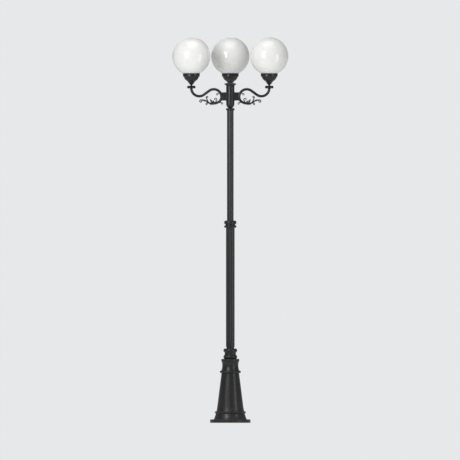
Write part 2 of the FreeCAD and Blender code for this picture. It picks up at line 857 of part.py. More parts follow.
def hub():
    bowl_top = hub_z + hub_bowl_height
    spigot_foot = hub_z - hub_spigot_length
    bore_foot = hub_z + hub_floor + hub_floor_slope
    outline = Outline(hub_cable_r, spigot_foot).to(hub_spigot_r, spigot_foot)
    outline.to(hub_spigot_r, hub_z).to(hub_foot_r, hub_z)
    outline.arc(hub_bowl_mid_r, hub_z + hub_bowl_mid_z, hub_r, bowl_top)
    outline.to(hub_r, hub_cap_z).to(hub_bore_r, hub_cap_z).to(hub_bore_r, bore_foot)
    outline.to(hub_cable_r, hub_z + hub_floor)
    body = outline.spin()
    body = body.fuse([turned(boss(), angle) for angle in HEADS.values()])
    tools = [Part.makeCylinder(hub_bore_r, hub_cap_z - bore_foot, V(0, 0, bore_foot))]
    screw_hole = Part.makeCylinder(screw_r, boss_height / 2,
                                   V(arm_screw_r(), 0, boss_z() - boss_height / 2))
    for angle in HEADS.values():
        tools.append(turned(boss_socket(), angle))
        tools.append(turned(screw_hole, angle))
    return body.cut(tools).removeSplitter()


def hub_cap():
    """Flared cover with a rolled lip, plugged into the hub and tapped for the finial."""
    low = hub_cap_z
    high = finial_z
    lip_z = low + hub_cap_lip_z
    lip_root_r = hub_cap_lip_r - hub_cap_lip_depth
    plug = hub_bore_r - slip_gap
    outline = Outline(finial_stud_r, low - hub_cap_plug).to(plug, low - hub_cap_plug).to(plug, low)
    outline.to(hub_r, low).to(hub_cap_neck_r, low + hub_cap_foot_height)
    outline.arc(hub_cap_flare_r, low + hub_cap_flare_z, lip_root_r, lip_z - hub_cap_lip_half)
    outline.arc(hub_cap_lip_r, lip_z, lip_root_r, lip_z + hub_cap_lip_half)
    outline.arc(hub_cap_crown_r, high - hub_cap_crown_drop, hub_cap_top_r, high)
    outline.to(finial_stud_r, high)
    return outline.spin()


def finial():
    low = finial_z
    ball_z = low + finial_height - finial_ball_r
    waist_z_here = ball_z - math.sqrt(finial_ball_r ** 2 - finial_waist_r ** 2)
    outline = Outline(0, low - finial_stud_length).to(finial_stud_r, low - finial_stud_length)
    outline.to(finial_stud_r, low).to(finial_foot_r, low)
    outline.to(finial_foot_r, low + finial_foot_height)
    outline.arc(finial_neck_r, low + finial_neck_z, finial_waist_r, waist_z_here)
    outline.arc(finial_ball_r, ball_z, 0, ball_z + finial_ball_r)
    return outline.spin()


# ================================================================ scrolled arm
def arm_end_z():
    return boss_z() + arm_rise


def scroll_z():
    return boss_z() - scroll_drop


def arm_slope():
    """Heading, in degrees, of the straight run that touches the scroll and the U turn."""
    between_centres = math.atan2(arm_climb, arm_span - arm_curves_r)
    return math.degrees(between_centres - math.atan2(arm_curves_r, arm_straight))


def scroll_end():
    """Where the scroll's lower arc ends, and the heading there on the way to the head."""
    angle = 180.0 + scroll_low_turn
    r = scroll_back + scroll_low_r + scroll_low_r * math.cos(math.radians(angle))
    z = scroll_z() + scroll_low_r * math.sin(math.radians(angle))
    return r, z, angle - 90.0


def arm_trail():
    heading = arm_slope()
    trail = Trail(*scroll_end())
    trail.turn(scroll_low_r, -scroll_low_turn).turn(scroll_top_r, heading - 90.0)
    return trail.run(arm_straight).turn(u_turn_r, 90.0 - heading)


def wire_trail(start_r, beyond):
    """The wire's way: level out of the hub, up into the scroll, and along to the head."""
    heading = arm_slope()
    on_scroll = math.radians(90.0 + wire_bend)
    bend_end_r = scroll_back + scroll_top_r + scroll_top_r * math.cos(on_scroll)
    bend_end_z = scroll_z() + scroll_top_r * math.sin(on_scroll)
    bend = math.radians(wire_bend)
    level_z = bend_end_z - wire_bend_r * (1 - math.cos(bend))
    level_r = bend_end_r - wire_bend_r * math.sin(bend)
    trail = Trail(start_r, level_z, 0.0)
    trail.run(level_r - start_r).turn(wire_bend_r, wire_bend)
    trail.turn(scroll_top_r, heading - wire_bend)
    return trail.run(arm_straight).turn(u_turn_r, 90.0 - heading).run(beyond)


def curl(joint_r, joint_z, plan):
    """A tapering rod that ends in a small ball, as planned from a joint."""
    (out, up, heading), length, turns = plan
    trail = Trail(joint_r + out, joint_z + up, heading).run(length)
    for radius, degrees in turns:
        trail.turn(radius, degrees)
    return [trail.pipe(curl_r, curl_tip_r), Part.makeSphere(curl_ball_r, trail.here)]


def arm():
    end_r, end_z, _ = scroll_end()
    half = boss_height / 2
    palm = block((boss_reach, -palm_width / 2, boss_z() - half),
                 (boss_reach + palm_depth, palm_width / 2, boss_z() + half))
    tenon = block((boss_reach - tenon_length, -tenon_width / 2, boss_z() - tenon_height / 2),
                  (boss_reach, tenon_width / 2, boss_z() + tenon_height / 2))
    pieces = [arm_trail().pipe(arm_r), palm, tenon]
    pieces += curl(scroll_back, scroll_z(), arm_inner_curl)
    pieces += curl(end_r, end_z, arm_outer_curl)
    bore = wire_trail(boss_reach - tenon_length - bore_over, bore_over).pipe(bore_r)
    thread = Part.makeCylinder(nipple_r, nipple_grip + tool_over,
                               V(arm_reach, 0, arm_end_z() - nipple_grip))
    return joined(pieces).cut([bore, thread])


def leaf(joint, plan):
    """A pointed leaf, thick along its middle and sharp at its edges."""
    out, up, heading, length, half_width = plan
    trail = Trail(joint.x + out, joint.z + up, heading)
    ahead = trail.direction(heading)
    aside = trail.direction(heading + 90)
    tip = trail.here + ahead * length
    middle = trail.here + ahead * (length * leaf_widest)
    one = Part.Arc(trail.here, middle + aside * half_width, tip).toShape()
    other = Part.Arc(tip, middle - aside * half_width, trail.here).toShape()
    body = Part.Face(Part.Wire([one, other])).extrude(V(0, 2 * leaf_half_thick, 0))
    body.translate(V(0, -leaf_half_thick, 0))
    swell = (half_width ** 2 + leaf_half_thick ** 2) / (2 * leaf_half_thick)
    for side in (-1, 1):
        centre = trail.here + V(0, side * (swell - leaf_half_thick), 0)
        body = body.common(Part.makeCylinder(swell, length, centre, ahead))
    return body


def spray():
    """Scroll work under the arm: a winding stem with curls, leaves and berries."""
    end_r, end_z, end_heading = scroll_end()
    stem = Trail(end_r, end_z, end_heading - 180.0)
    stem.run(stem_first[0]).turn(*stem_first[1:])
    first = stem.here
    stem.run(stem_middle[0])
    second = stem.here
    stem.turn(*stem_middle[1:])
    third = stem.here
    stem.run(stem_rise).turn(*stem_level[:2]).run(stem_level[2]).turn(*stem_curl)
    pieces = [stem.pipe(stem_r, stem_tip_r), Part.makeSphere(curl_ball_r, stem.here)]
    pieces += curl(first.x, first.z, first_curl)
    pieces += curl(third.x, third.z, third_curl)
    pieces += curl(third.x, third.z, low_curl)
    pieces += [leaf(second, long_leaf), leaf(first, short_leaf)]
    for past, size in berries:
        pieces.append(Part.makeSphere(size, V(first.x + past, 0, first.z - berry_drop)))
    return joined(pieces).cut(arm_trail().pipe(arm_r))


# ================================================================ head
def stem_z():
    return arm_end_z() + calyx_height


def cup_z():
    return stem_z() + head_stem_height


def gallery_z():
    return cup_z() + cup_height


def globe_z():
    return gallery_z() + globe_centre_rise


def calyx():
    """A ring of rounded leaves that closes the joint between arm and stem."""
    low = arm_end_z() - calyx_droop
    high = arm_end_z() + calyx_rise
    reach = calyx_lobe_circle + calyx_lobe_r
    root = arm_r + slip_gap
    collar_r = head_stem_foot_r + calyx_collar
    outline = Outline(root, low + calyx_root_rise)
    outline.arc(reach * calyx_belly_low, low - calyx_belly_out, reach, (low + high) / 2)
    outline.arc(reach * calyx_belly_high, high + calyx_belly_out, collar_r,
                stem_z() + calyx_collar_height)
    outline.to(collar_r, stem_z()).to(nipple_r, stem_z())
    outline.to(nipple_r, arm_end_z()).to(root, arm_end_z())
    tool_z = low - 2 * tool_over
    tool_height = high - low + 4 * tool_over
    lobe = Part.makeCylinder(calyx_lobe_r, tool_height, V(calyx_lobe_circle, 0, tool_z))
    core = Part.makeCylinder(calyx_lobe_circle - calyx_valley, tool_height, V(0, 0, tool_z))
    return outline.spin().common(core.multiFuse(around(lobe, calyx_lobes)))


def head_stem():
    low = stem_z()
    high = cup_z()
    outline = Outline(nipple_r, low).to(head_stem_foot_r, low)
    outline.to(head_stem_foot_r, low + head_stem_foot_height)
    outline.arc(head_stem_waist_r, low + head_stem_height * head_stem_waist_at, head_stem_top_r, high)
    outline.to(nipple_r, high)
    return outline.spin()


def cup():
    """Hollow bowl between the stem and the gallery."""
    low = cup_z()
    high = gallery_z()
    knee_r = head_stem_top_r + (cup_top_r - head_stem_top_r) * cup_knee_at
    knee_z = low + cup_height * cup_knee_at
    belly_z = low + cup_height * cup_belly_at
    core_top = low + cup_core_height
    outline = Outline(nipple_r, low).to(head_stem_top_r, low)
    outline.arc(knee_r - cup_knee_hollow_r, knee_z - cup_knee_hollow_z, knee_r, knee_z)
    outline.arc(cup_belly_r, belly_z, cup_top_r, high)
    outline.to(cup_top_r - cup_wall, high)
    outline.arc(cup_belly_r - cup_slant_wall, belly_z + cup_belly_lift, knee_r - cup_slant_wall,
                knee_z + cup_knee_lift)
    outline.to(nipple_r + cup_core_wall, core_top).to(nipple_r, core_top)
    return outline.spin()


def gallery():
    """Pan with a flared rim, an inner flange notched for the globe's lugs, and their stops."""
    low = gallery_z()
    inner = gallery_r - gallery_wall
    neck_hole = globe_neck_r + seat_gap
    top = low + gallery_height + gallery_rim_over
    flange_low = low + flange_height
    flange_top = flange_low + flange_t
    outline = Outline(nipple_r, low).to(cup_top_r, low).to(gallery_r, low + gallery_chamfer)
    outline.to(gallery_r, low + gallery_height * gallery_straight)
    outline.arc(gallery_r + gallery_flare, low + gallery_height * gallery_flare_at, gallery_rim_r, top)
    outline.to(inner, top).to(inner, flange_top).to(neck_hole, flange_top)
    outline.to(neck_hole, flange_low).to(inner, flange_low)
    outline.to(inner, low + gallery_chamfer + tool_over)
    outline.to(cup_top_r - gallery_foot_inset, low + gallery_floor).to(nipple_r, low + gallery_floor)
    body = outline.spin()
    reach = lug_angle / 2 + stop_play + stop_angle / 2
    for angle in (-reach, lock_turn + reach):
        stop = sector(globe_neck_r + stop_inset, inner + gallery_wall / 2,
                      flange_low - lug_height - tool_over, flange_low, angle, stop_angle)
        body = body.fuse(around(stop, lock_count))
    notch = sector(globe_neck_r - tool_over, inner, flange_low - tool_over, flange_top + tool_over,
                   lock_turn, notch_angle)
    ball = Part.makeSphere(globe_r + seat_gap, V(0, 0, globe_z()))
    return body.cut(around(notch, lock_count) + [ball])


def gallery_nut():
    low = gallery_z() + gallery_floor
    return prism(6, nut_r, low, nut_height).cut(Part.makeCylinder(nipple_r, nut_height, V(0, 0, low)))


def nipple():
    """Threaded tube that clamps calyx, stem, cup and gallery to the arm."""
    return tube(nipple_r, nipple_bore_r, arm_end_z() - nipple_grip,
                gallery_z() + holder_foot + nipple_end)


def lamp_cap_z():
    return gallery_z() + holder_foot + holder_height + lamp_cap_shows - lamp_cap_height


def lamp_holder():
    low = gallery_z() + holder_foot
    high = low + holder_height
    rim_low = high - holder_rim_height
    rim_r = holder_r - holder_rim_inset
    socket_r = lamp_cap_r + lamp_cap_play
    outline = Outline(nipple_r, low).to(holder_neck_r, low)
    outline.arc(holder_neck_bulge_r, low + holder_neck_bulge_z, holder_r,
                low + holder_height * holder_step_at)
    outline.to(holder_r, rim_low).to(rim_r, rim_low).to(rim_r, high)
    outline.to(socket_r, high).to(socket_r, lamp_cap_z()).to(nipple_r, lamp_cap_z())
    return outline.spin()


def lamp_cap():
    low = lamp_cap_z()
    top = low + lamp_cap_height
    rim_z = low + lamp_cap_button_height
    outline = Outline(0, low).to(lamp_cap_button_r, low).to(lamp_cap_r - lamp_cap_shoulder, rim_z)
    outline.to(lamp_cap_r, rim_z + lamp_cap_shoulder).to(lamp_cap_r, top).to(0, top)
    return outline.spin()


def bulb():
    low = lamp_cap_z() + lamp_cap_height
    centre = low + bulb_height - bulb_r
    meet = math.radians(bulb_meet_angle)
    crown = math.radians(bulb_crown_angle)
    outline = Outline(0, low).to(bulb_neck_r, low)
    outline.arc(bulb_neck_bulge_r, low + bulb_neck_bulge_z,
                bulb_r * math.cos(meet), centre + bulb_r * math.sin(meet))
    outline.arc(bulb_r * math.cos(crown), centre + bulb_r * math.sin(crown), 0, centre + bulb_r)
    return outline.spin()


def globe():
    """Opal ball with an open neck and three locking lugs."""
    centre = globe_z()
    neck_foot = gallery_z() + globe_neck_drop
    neck_in = globe_neck_r - globe_wall
    inner_r = globe_r - globe_wall
    outer_meet = centre - math.sqrt(globe_r ** 2 - globe_neck_r ** 2)
    inner_meet = centre - math.sqrt(inner_r ** 2 - neck_in ** 2)
    outline = Outline(0, centre + globe_r).arc(globe_r, centre, globe_neck_r, outer_meet)
    outline.to(globe_neck_r, neck_foot).to(neck_in, neck_foot).to(neck_in, inner_meet)
    outline.arc(inner_r, centre, 0, centre + inner_r)
    lug_top = gallery_z() + flange_height - body_gap
    lug = sector(globe_neck_r - tool_over, lug_r, lug_top - lug_height, lug_top, 0, lug_angle)
    return outline.spin().fuse(around(lug, lock_count))


def gasket():
    """Rubber ring stretched round the globe's neck, pressed on the gallery's flange."""
    low = gallery_z() + flange_height + flange_t + body_gap
    outer = gallery_r - gallery_wall - gasket_side_gap
    ring = tube(outer, globe_neck_r, low, low + gasket_height)
    return ring.cut(Part.makeSphere(globe_r, V(0, 0, globe_z())))


def lamp_wire():
    beyond = gallery_z() + holder_foot + wire_end - arm_end_z()
    return wire_trail(splice_r, beyond).pipe(wire_r)


# ================================================================ wiring
def cable_start_z():
    return block_z + block_height


def cable_start_y():
    return block_y + block_depth / 2


def cable_diagonal():
    """Length of the slanted run between the cable's two bends."""
    bend = math.radians(cable_bend)
    return (cable_start_y() - 2 * cable_bend_r * (1 - math.cos(bend))) / math.sin(bend)


def cable_rise():
    bend = math.radians(cable_bend)
    return cable_lead + 2 * cable_bend_r * math.sin(bend) + cable_diagonal() * math.cos(bend)


def splice_z():
    return wire_trail(splice_r, wire_end).start.z


def supply_cable():
    """From the terminal block through the core tube's slot and up the pole to the hub."""
    trail = Trail(cable_start_y(), cable_start_z(), 90.0).run(cable_lead)
    trail.turn(cable_bend_r, cable_bend).run(cable_diagonal()).turn(cable_bend_r, -cable_bend)
    trail.run(splice_z() - splice_height / 2 - trail.here.z)
    return turned(trail.pipe(cable_r), 90)


def splice_block():
    low = splice_z() - splice_height / 2
    return Part.makeCylinder(splice_r, splice_height, V(0, 0, low))


def terminal_block():
    half = block_width / 2
    back = block_y + block_depth
    body = block((-half, block_y, block_z), (half, back, block_z + block_height))
    pitch = block_height / block_ways
    tools = []
    for way in range(block_ways):
        z = block_z + pitch * (way + 0.5)
        for x in (-half / 2, half / 2):
            clamp = Part.makeCylinder(clamp_hole_r, clamp_hole_depth,
                                      V(x, back - clamp_hole_depth, z), V(0, 1, 0))
            tools.append(clamp)
    for way in range(1, block_ways):
        z = block_z + pitch * way
        tools.append(block((-half, back - slit_depth, z - slit_half), (half, back, z + slit_half)))
    return body.cut(tools)


def terminal_bracket():
    """Folded plate on two legs coped to the core tube."""
    low = block_z - bracket_low_margin
    high = block_z + block_height + bracket_high_margin
    half = bracket_width / 2
    plate = block((-half, block_y - bracket_t, low), (half, block_y, high))
    legs = []
    for side in (-half, half - bracket_t):
        legs.append(block((side, 0, low), (side + bracket_t, block_y, high)))
    core = Part.makeCylinder(core_r, high - low, V(0, 0, low))
    return joined([plate] + legs).cut(core)


# ================================================================ set screws
def ring_screw_holes(ring_r, z):
    """The tapped holes for one ring's pair of screws."""
    hole = Part.makeCylinder(screw_r, ring_r, V(0, 0, z), V(1, 0, 0))
    return around(hole, ring_screw_count, ring_screw_angle)


def collar_screw_z():
    return collar_z + bead_low_height + bead_gap_height / 2


def mid_screw_z():
    return mid_ring_z + mid_ring_low_height + mid_ring_groove_height / 2


def top_screw_z():
    return (top_ring_z + hub_z) / 2


def arm_screw_r():
    return boss_reach - tenon_length / 2


def set_screws():
    """Headless screws: under each boss, and in pairs in the collar and both pole rings."""
    screws = []
    for z, touch_r in ((collar_screw_z(), core_r), (mid_screw_z(), upper_pole_r),
                       (top_screw_z(), hub_spigot_r)):
        screw = Part.makeCylinder(screw_r, screw_length, V(touch_r, 0, z), V(1, 0, 0))
        screws += around(screw, ring_screw_count, ring_screw_angle)
    top = boss_z() - tenon_height / 2
    screw = Part.makeCylinder(screw_r, screw_length, V(arm_screw_r(), 0, top - screw_length))
    screws += [turned(screw, angle) for angle in HEADS.values()]
    return Part.makeCompound(screws)


# ================================================================ writing the pieces
def grouped(shape):
    return Part.makeCompound([at_head(shape, angle) for angle in HEADS.values()])


def post_pieces():
    return {
        "ground_plate": ground_plate(), "core_tube": core_tube(), "pole_seat": pole_seat(),
        "foot": foot(), "foot_bead": foot_bead(), "skirt": skirt(), "waist_ring": waist_ring(),
        "neck": neck(), "bead_collar": bead_collar(), "lower_pole": lower_pole(),
        "pole_bushes": pole_bushes(), "mid_ring": mid_ring(), "upper_pole": upper_pole(),
        "top_ring": top_ring(), "hub": hub(), "hub_cap": hub_cap(), "finial": finial(),
        "supply_cable": supply_cable(), "splice_block": splice_block(),
        "terminal_block": terminal_block(), "terminal_bracket": terminal_bracket(),
        "door": door(), "hinge_pins": hinge_pins(), "door_lock": door_lock(),
        "set_screws": set_screws(), "nipples": grouped(nipple()),
        "gallery_nuts": grouped(gallery_nut()), "lamp_caps": grouped(lamp_cap()),
    }


def arm_pieces():
    """Each head's own pieces, and the three lamp wires."""
    made = {}
    on_axis = {"calyx": calyx(), "head_stem": head_stem(), "cup": cup(), "gallery": gallery(),
               "lamp_holder": lamp_holder(), "bulb": bulb(), "globe": globe(), "gasket": gasket()}
    in_place = {"arm": arm(), "spray": spray()}
    for side, angle in HEADS.items():
        for name, shape in in_place.items():
            made[name + "_" + side] = turned(shape, angle)
        for name, shape in on_axis.items():
            made[name + "_" + side] = at_head(shape, angle)
    wire = lamp_wire()
    made["lamp_wires"] = Part.makeCompound([turned(wire, angle) for angle in HEADS.values()])
    return made


os.makedirs("parts", exist_ok=True)
for node, shape in {**post_pieces(), **arm_pieces()}.items():
    if not shape.isValid():
        print("not valid:", node)
    print(node, len(shape.Solids), round(shape.Volume))
    shape.exportStep("parts/" + node + ".step")
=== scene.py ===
import json
import math

import bmesh
import bpy
from bpy.props import FloatProperty, FloatVectorProperty, IntProperty, PointerProperty
from mathutils import Matrix, Vector


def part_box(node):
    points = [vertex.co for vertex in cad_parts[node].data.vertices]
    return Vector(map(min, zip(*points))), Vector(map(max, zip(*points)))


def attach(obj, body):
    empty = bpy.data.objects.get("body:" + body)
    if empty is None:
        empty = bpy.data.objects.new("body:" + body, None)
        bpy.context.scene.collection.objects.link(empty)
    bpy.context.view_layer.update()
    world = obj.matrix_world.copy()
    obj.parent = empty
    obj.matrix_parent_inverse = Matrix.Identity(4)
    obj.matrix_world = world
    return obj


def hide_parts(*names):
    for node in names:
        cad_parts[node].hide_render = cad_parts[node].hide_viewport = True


bl_info = {
    "name": "Globe lamp post",
    "version": (1, 0, 0),
    "blender": (4, 5, 0),
    "location": "View3D > Sidebar > Lamp Post",
    "description": "Dresses a three-headed garden lamp post: opal globes, scroll work, leaves and paint",
    "category": "Add Mesh",
}

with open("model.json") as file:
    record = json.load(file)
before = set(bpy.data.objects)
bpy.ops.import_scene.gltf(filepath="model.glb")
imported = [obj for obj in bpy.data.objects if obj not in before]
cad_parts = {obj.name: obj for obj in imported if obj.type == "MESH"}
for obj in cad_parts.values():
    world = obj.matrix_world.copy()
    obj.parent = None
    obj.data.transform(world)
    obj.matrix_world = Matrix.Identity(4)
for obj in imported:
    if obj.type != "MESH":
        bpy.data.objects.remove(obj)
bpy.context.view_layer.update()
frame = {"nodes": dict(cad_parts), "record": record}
NODES = frame["nodes"]
MM = 0.001
SIDES = {"left": 180.0, "right": 0.0, "rear": 90.0}
BACKDROP = (0.93, 0.94, 0.95)


# ------------------------------------------------------------------ places read from the frame
def box_middle(node):
    low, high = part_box(node)
    return (Vector(low) + Vector(high)) / 2


def low_z(node):
    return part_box(node)[0][2]


def high_z(node):
    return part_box(node)[1][2]


REACH = abs(box_middle("gallery_left").x)
GLOBE_R = (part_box("globe_left")[1][0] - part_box("globe_left")[0][0]) / 2
GLOBE_Z = high_z("globe_left") - GLOBE_R
ARM_END_Z = high_z("arm_left")
SCROLL_END = Vector((0.0922, 0.0, ARM_END_Z - 0.1096))  # middle of the right arm's lower end
# Grooves are: how many, a shift of 0.5 that puts one straight in front or 0 that leaves a ridge
# there, half the width, and the heights of their two ends.
SKIRT_GROOVES = (8, 0.0, 0.0029, low_z("skirt") + 0.0450, low_z("skirt") + 0.2690)
LOWER_FLUTES = (8, 0.5, 0.0023, low_z("lower_pole") + 0.0320, high_z("lower_pole"))
UPPER_FLUTES = (8, 0.5, 0.0023, low_z("upper_pole"), high_z("upper_pole"))


# ------------------------------------------------------------------ sizes and colours
class LampPostSizes(bpy.types.PropertyGroup):
    """Sizes that shape the dressed pieces."""

    globe_wall: FloatProperty(name="Globe wall", description="Thickness of the opal globe",
                              default=0.003, unit="LENGTH")
    neck_radius: FloatProperty(name="Globe neck", description="Outer radius of the globe's neck",
                               default=0.0575, unit="LENGTH")
    globe_steps: IntProperty(name="Globe steps", description="Steps round a globe", default=112)
    turned_steps: IntProperty(name="Turned steps", description="Steps round a turned casting",
                              default=128)
    curl_radius: FloatProperty(name="Curl", description="Radius of a curl where it starts",
                               default=0.0042, unit="LENGTH")
    leaf_thickness: FloatProperty(name="Leaf", description="Thickness of a cast leaf",
                                  default=0.0052, unit="LENGTH")
    petal_thickness: FloatProperty(name="Petal", description="Thickness of a calyx's rolled leaf",
                                   default=0.0034, unit="LENGTH")
    cast_voxel: FloatProperty(name="Casting grain", description="Voxel that blends a casting's parts",
                              default=0.0008, unit="LENGTH")


class LampPostColours(bpy.types.PropertyGroup):
    """Colours of the finishes."""

    paint: FloatVectorProperty(name="Paint", description="Satin paint on metal", subtype="COLOR",
                               size=3, default=(0.0068, 0.0073, 0.0082))
    primer: FloatVectorProperty(name="Worn paint", description="Where the paint is rubbed thin",
                                subtype="COLOR", size=3, default=(0.085, 0.080, 0.075))
    dust: FloatVectorProperty(name="Dust", description="Dust that settles low down",
                              subtype="COLOR", size=3, default=(0.15, 0.135, 0.115))
    opal: FloatVectorProperty(name="Opal", description="Unlit opal globe", subtype="COLOR",
                              size=3, default=(0.90, 0.895, 0.87))
    zinc: FloatVectorProperty(name="Zinc", description="Galvanised steel", subtype="COLOR",
                              size=3, default=(0.52, 0.54, 0.56))
    brass: FloatVectorProperty(name="Brass", description="Turned brass", subtype="COLOR",
                               size=3, default=(0.70, 0.52, 0.24))


def sizes():
    return bpy.context.scene.lamp_post_sizes


def colours():
    return bpy.context.scene.lamp_post_colours


# ------------------------------------------------------------------ shader maths
class Value:
    """A shader socket; arithmetic on it adds Math nodes."""

    def __init__(self, finish, socket):
        self.finish = finish
        self.socket = socket

    def maths(self, operation, first, second):
        return self.finish.add("ShaderNodeMath", {"operation": operation}, {0: first, 1: second})

    def __add__(self, other):
        return self.maths("ADD", self, other)

    def __radd__(self, other):
        return self.maths("ADD", other, self)

    def __sub__(self, other):
        return self.maths("SUBTRACT", self, other)

    def __rsub__(self, other):
        return self.maths("SUBTRACT", other, self)

    def __mul__(self, other):
        return self.maths("MULTIPLY", self, other)

    def __rmul__(self, other):
        return self.maths("MULTIPLY", other, self)

    def __pow__(self, other):
        return self.maths("POWER", self, other)


class Finish:
    """One material: a Principled shader and the nodes that feed it."""

    def __init__(self, name, roughness, metallic=0.0, **constants):
        self.material = bpy.data.materials.new(name)
        self.material.use_nodes = True
        self.tree = self.material.node_tree
        self.shader = self.tree.nodes["Principled BSDF"]
        self.set("Roughness", roughness)
        self.set("Metallic", metallic)
        for socket, value in constants.items():
            self.set(socket.replace("_", " "), value)
        self.place = self.add("ShaderNodeTexCoord", {}, {}, output="Object")

    def add(self, kind, settings, inputs, output=0):
        """Adds a node with its settings and inputs, and returns one of its outputs."""
        node = self.tree.nodes.new(kind)
        for key, value in settings.items():
            if key == "stops":
                self.stops(node.color_ramp, value)
            else:
                setattr(node, key, value)
        for key, value in inputs.items():
            self.feed(node.inputs[key], value)
        return Value(self, node.outputs[output])

    def stops(self, ramp, stops):
        while len(ramp.elements) < len(stops):
            ramp.elements.new(0.5)
        for element, (position, shade) in zip(ramp.elements, stops):
            element.position = position
            element.color = (shade, shade, shade, 1.0)

    def feed(self, socket, value):
        if isinstance(value, Value):
            self.tree.links.new(value.socket, socket)
        elif socket.type == "RGBA" and len(value) == 3:
            socket.default_value = (*value, 1.0)
        else:
            socket.default_value = value

    def set(self, socket, value):
        self.feed(self.shader.inputs[socket], value)

    def noise(self, scale, detail=3.0, rough=0.5, stretch=None):
        place = self.place
        if stretch is not None:
            place = self.add("ShaderNodeMapping", {}, {"Vector": place, "Scale": stretch})
        return self.add("ShaderNodeTexNoise", {},
                        {"Vector": place, "Scale": scale, "Detail": detail, "Roughness": rough})

    def ramp(self, value, stops):
        return self.add("ShaderNodeValToRGB", {"stops": stops}, {"Fac": value})

    def blend(self, factor, first, second):
        """Mixes two colours by a factor."""
        return self.add("ShaderNodeMix", {"data_type": "RGBA"},
                        {0: factor, 6: first, 7: second}, output=2)

    def bump(self, height, distance):
        self.set("Normal", self.add("ShaderNodeBump", {}, {"Height": height, "Distance": distance}))


def edge_wear(finish, low, high):
    """Rubbed edges: sharp outward corners, broken up by noise."""
    corner = finish.add("ShaderNodeNewGeometry", {}, {}, output="Pointiness")
    sharp = finish.ramp(corner, [(low, 0.0), (high, 1.0)])
    return sharp * finish.ramp(finish.noise(160.0, 4.0, 0.7), [(0.48, 0.0), (0.62, 1.0)])


def upward(finish):
    """1 on surfaces that face up, 0 on the rest."""
    normal = finish.add("ShaderNodeNewGeometry", {}, {}, output="Normal")
    height = finish.add("ShaderNodeSeparateXYZ", {}, {0: normal}, output=2)
    return finish.ramp(height, [(0.55, 0.0), (0.98, 1.0)])


def near_ground(finish, height):
    """1 at the ground, fading to 0 at a height in metres."""
    z = finish.add("ShaderNodeSeparateXYZ", {}, {0: finish.place}, output=2)
    return finish.ramp(z * (1.0 / height), [(0.0, 1.0), (1.0, 0.0)])


def in_grooves(finish, count, shift, half_width, low, high):
    """1 in upright grooves spaced evenly round the axis, between two heights, and 0 elsewhere."""
    x, y, z = (finish.add("ShaderNodeSeparateXYZ", {}, {0: finish.place}, output=axis)
               for axis in range(3))
    turns = finish.add("ShaderNodeMath", {"operation": "ARCTAN2"}, {0: y, 1: x}) * (count / math.tau)
    share = finish.add("ShaderNodeMath", {"operation": "FRACT"}, {0: turns + (count + shift)})
    off = finish.add("ShaderNodeMath", {"operation": "ABSOLUTE"}, {0: share - 0.5})
    radius = (x ** 2.0 + y ** 2.0) ** 0.5
    aside = off * radius * (math.tau / count / half_width)
    inside = finish.ramp(aside, [(0.55, 1.0), (1.0, 0.0)])
    between = finish.ramp((z - low) * (1.0 / (high - low)), [(0.0, 0.0), (0.02, 1.0), (0.98, 1.0),
                                                             (1.0, 0.0)])
    return inside * between


def paint(name, grain, grain_depth, roughness, rubbed=False, grooves=None):
    """Satin paint over metal: its grain, dust on ledges, low down and in grooves, rubbed edges."""
    finish = Finish(name, roughness, 0.0, Coat_Roughness=0.16, Specular_IOR_Level=0.42)
    shade = finish.noise(5.0, 3.0, 0.6)
    colour = finish.blend(finish.ramp(shade, [(0.3, 0.0), (0.7, 1.0)]),
                          tuple(colours().paint), tuple(value * 1.4 for value in colours().paint))
    settled = upward(finish) * finish.ramp(finish.noise(38.0, 5.0, 0.65), [(0.42, 0.0), (0.75, 1.0)])
    splash = near_ground(finish, 0.34) * finish.ramp(finish.noise(60.0, 6.0, 0.7),
                                                     [(0.40, 0.0), (0.80, 1.0)])
    film = settled * 0.30 + splash * 0.26
    streak = finish.noise(22.0, 4.0, 0.6, stretch=(1.0, 1.0, 0.12))
    if grooves:
        film = film + in_grooves(finish, *grooves) * (0.30 + streak * 0.4)
    gloss = roughness - 0.07 + streak * 0.14 + film * 0.35
    if rubbed:
        wear = edge_wear(finish, 0.54, 0.62) * 0.45
        colour = finish.blend(wear, colour, tuple(colours().primer))
        gloss = gloss + wear * 0.2
    finish.set("Base Color", finish.blend(film, colour, tuple(colours().dust)))
    finish.set("Roughness", gloss)
    finish.set("Coat Weight", finish.ramp(shade, [(0.0, 0.22), (1.0, 0.08)]) * (1.0 - film))
    finish.bump(finish.noise(grain, 4.0, 0.62) + finish.noise(grain * 0.18, 2.0, 0.5) * 1.6,
                grain_depth)
    return finish.material


def opal():
    """Unlit opal globe: milky body, smooth skin, a trace of dust on top and rain marks."""
    finish = Finish("opal globe", 0.16, 0.0, Subsurface_Weight=0.15, Subsurface_Scale=0.01,
                    Subsurface_Radius=(1.0, 0.95, 0.85), Coat_Weight=0.25, Coat_Roughness=0.12, IOR=1.49)
    cloud = finish.noise(7.0, 3.0, 0.5)
    milk = finish.blend(finish.ramp(cloud, [(0.3, 0.0), (0.7, 1.0)]), tuple(colours().opal),
                        tuple(min(1.0, value * 1.03) for value in colours().opal))
    marks = finish.noise(16.0, 3.0, 0.55, stretch=(1.0, 1.0, 0.3))
    grime = finish.ramp(marks, [(0.56, 0.0), (0.82, 1.0)]) * upward(finish) * 0.16
    finish.set("Base Color", finish.blend(grime, milk, (0.62, 0.59, 0.53)))
    finish.set("Roughness", 0.17 + marks * 0.04 + grime * 0.3)
    return finish.material


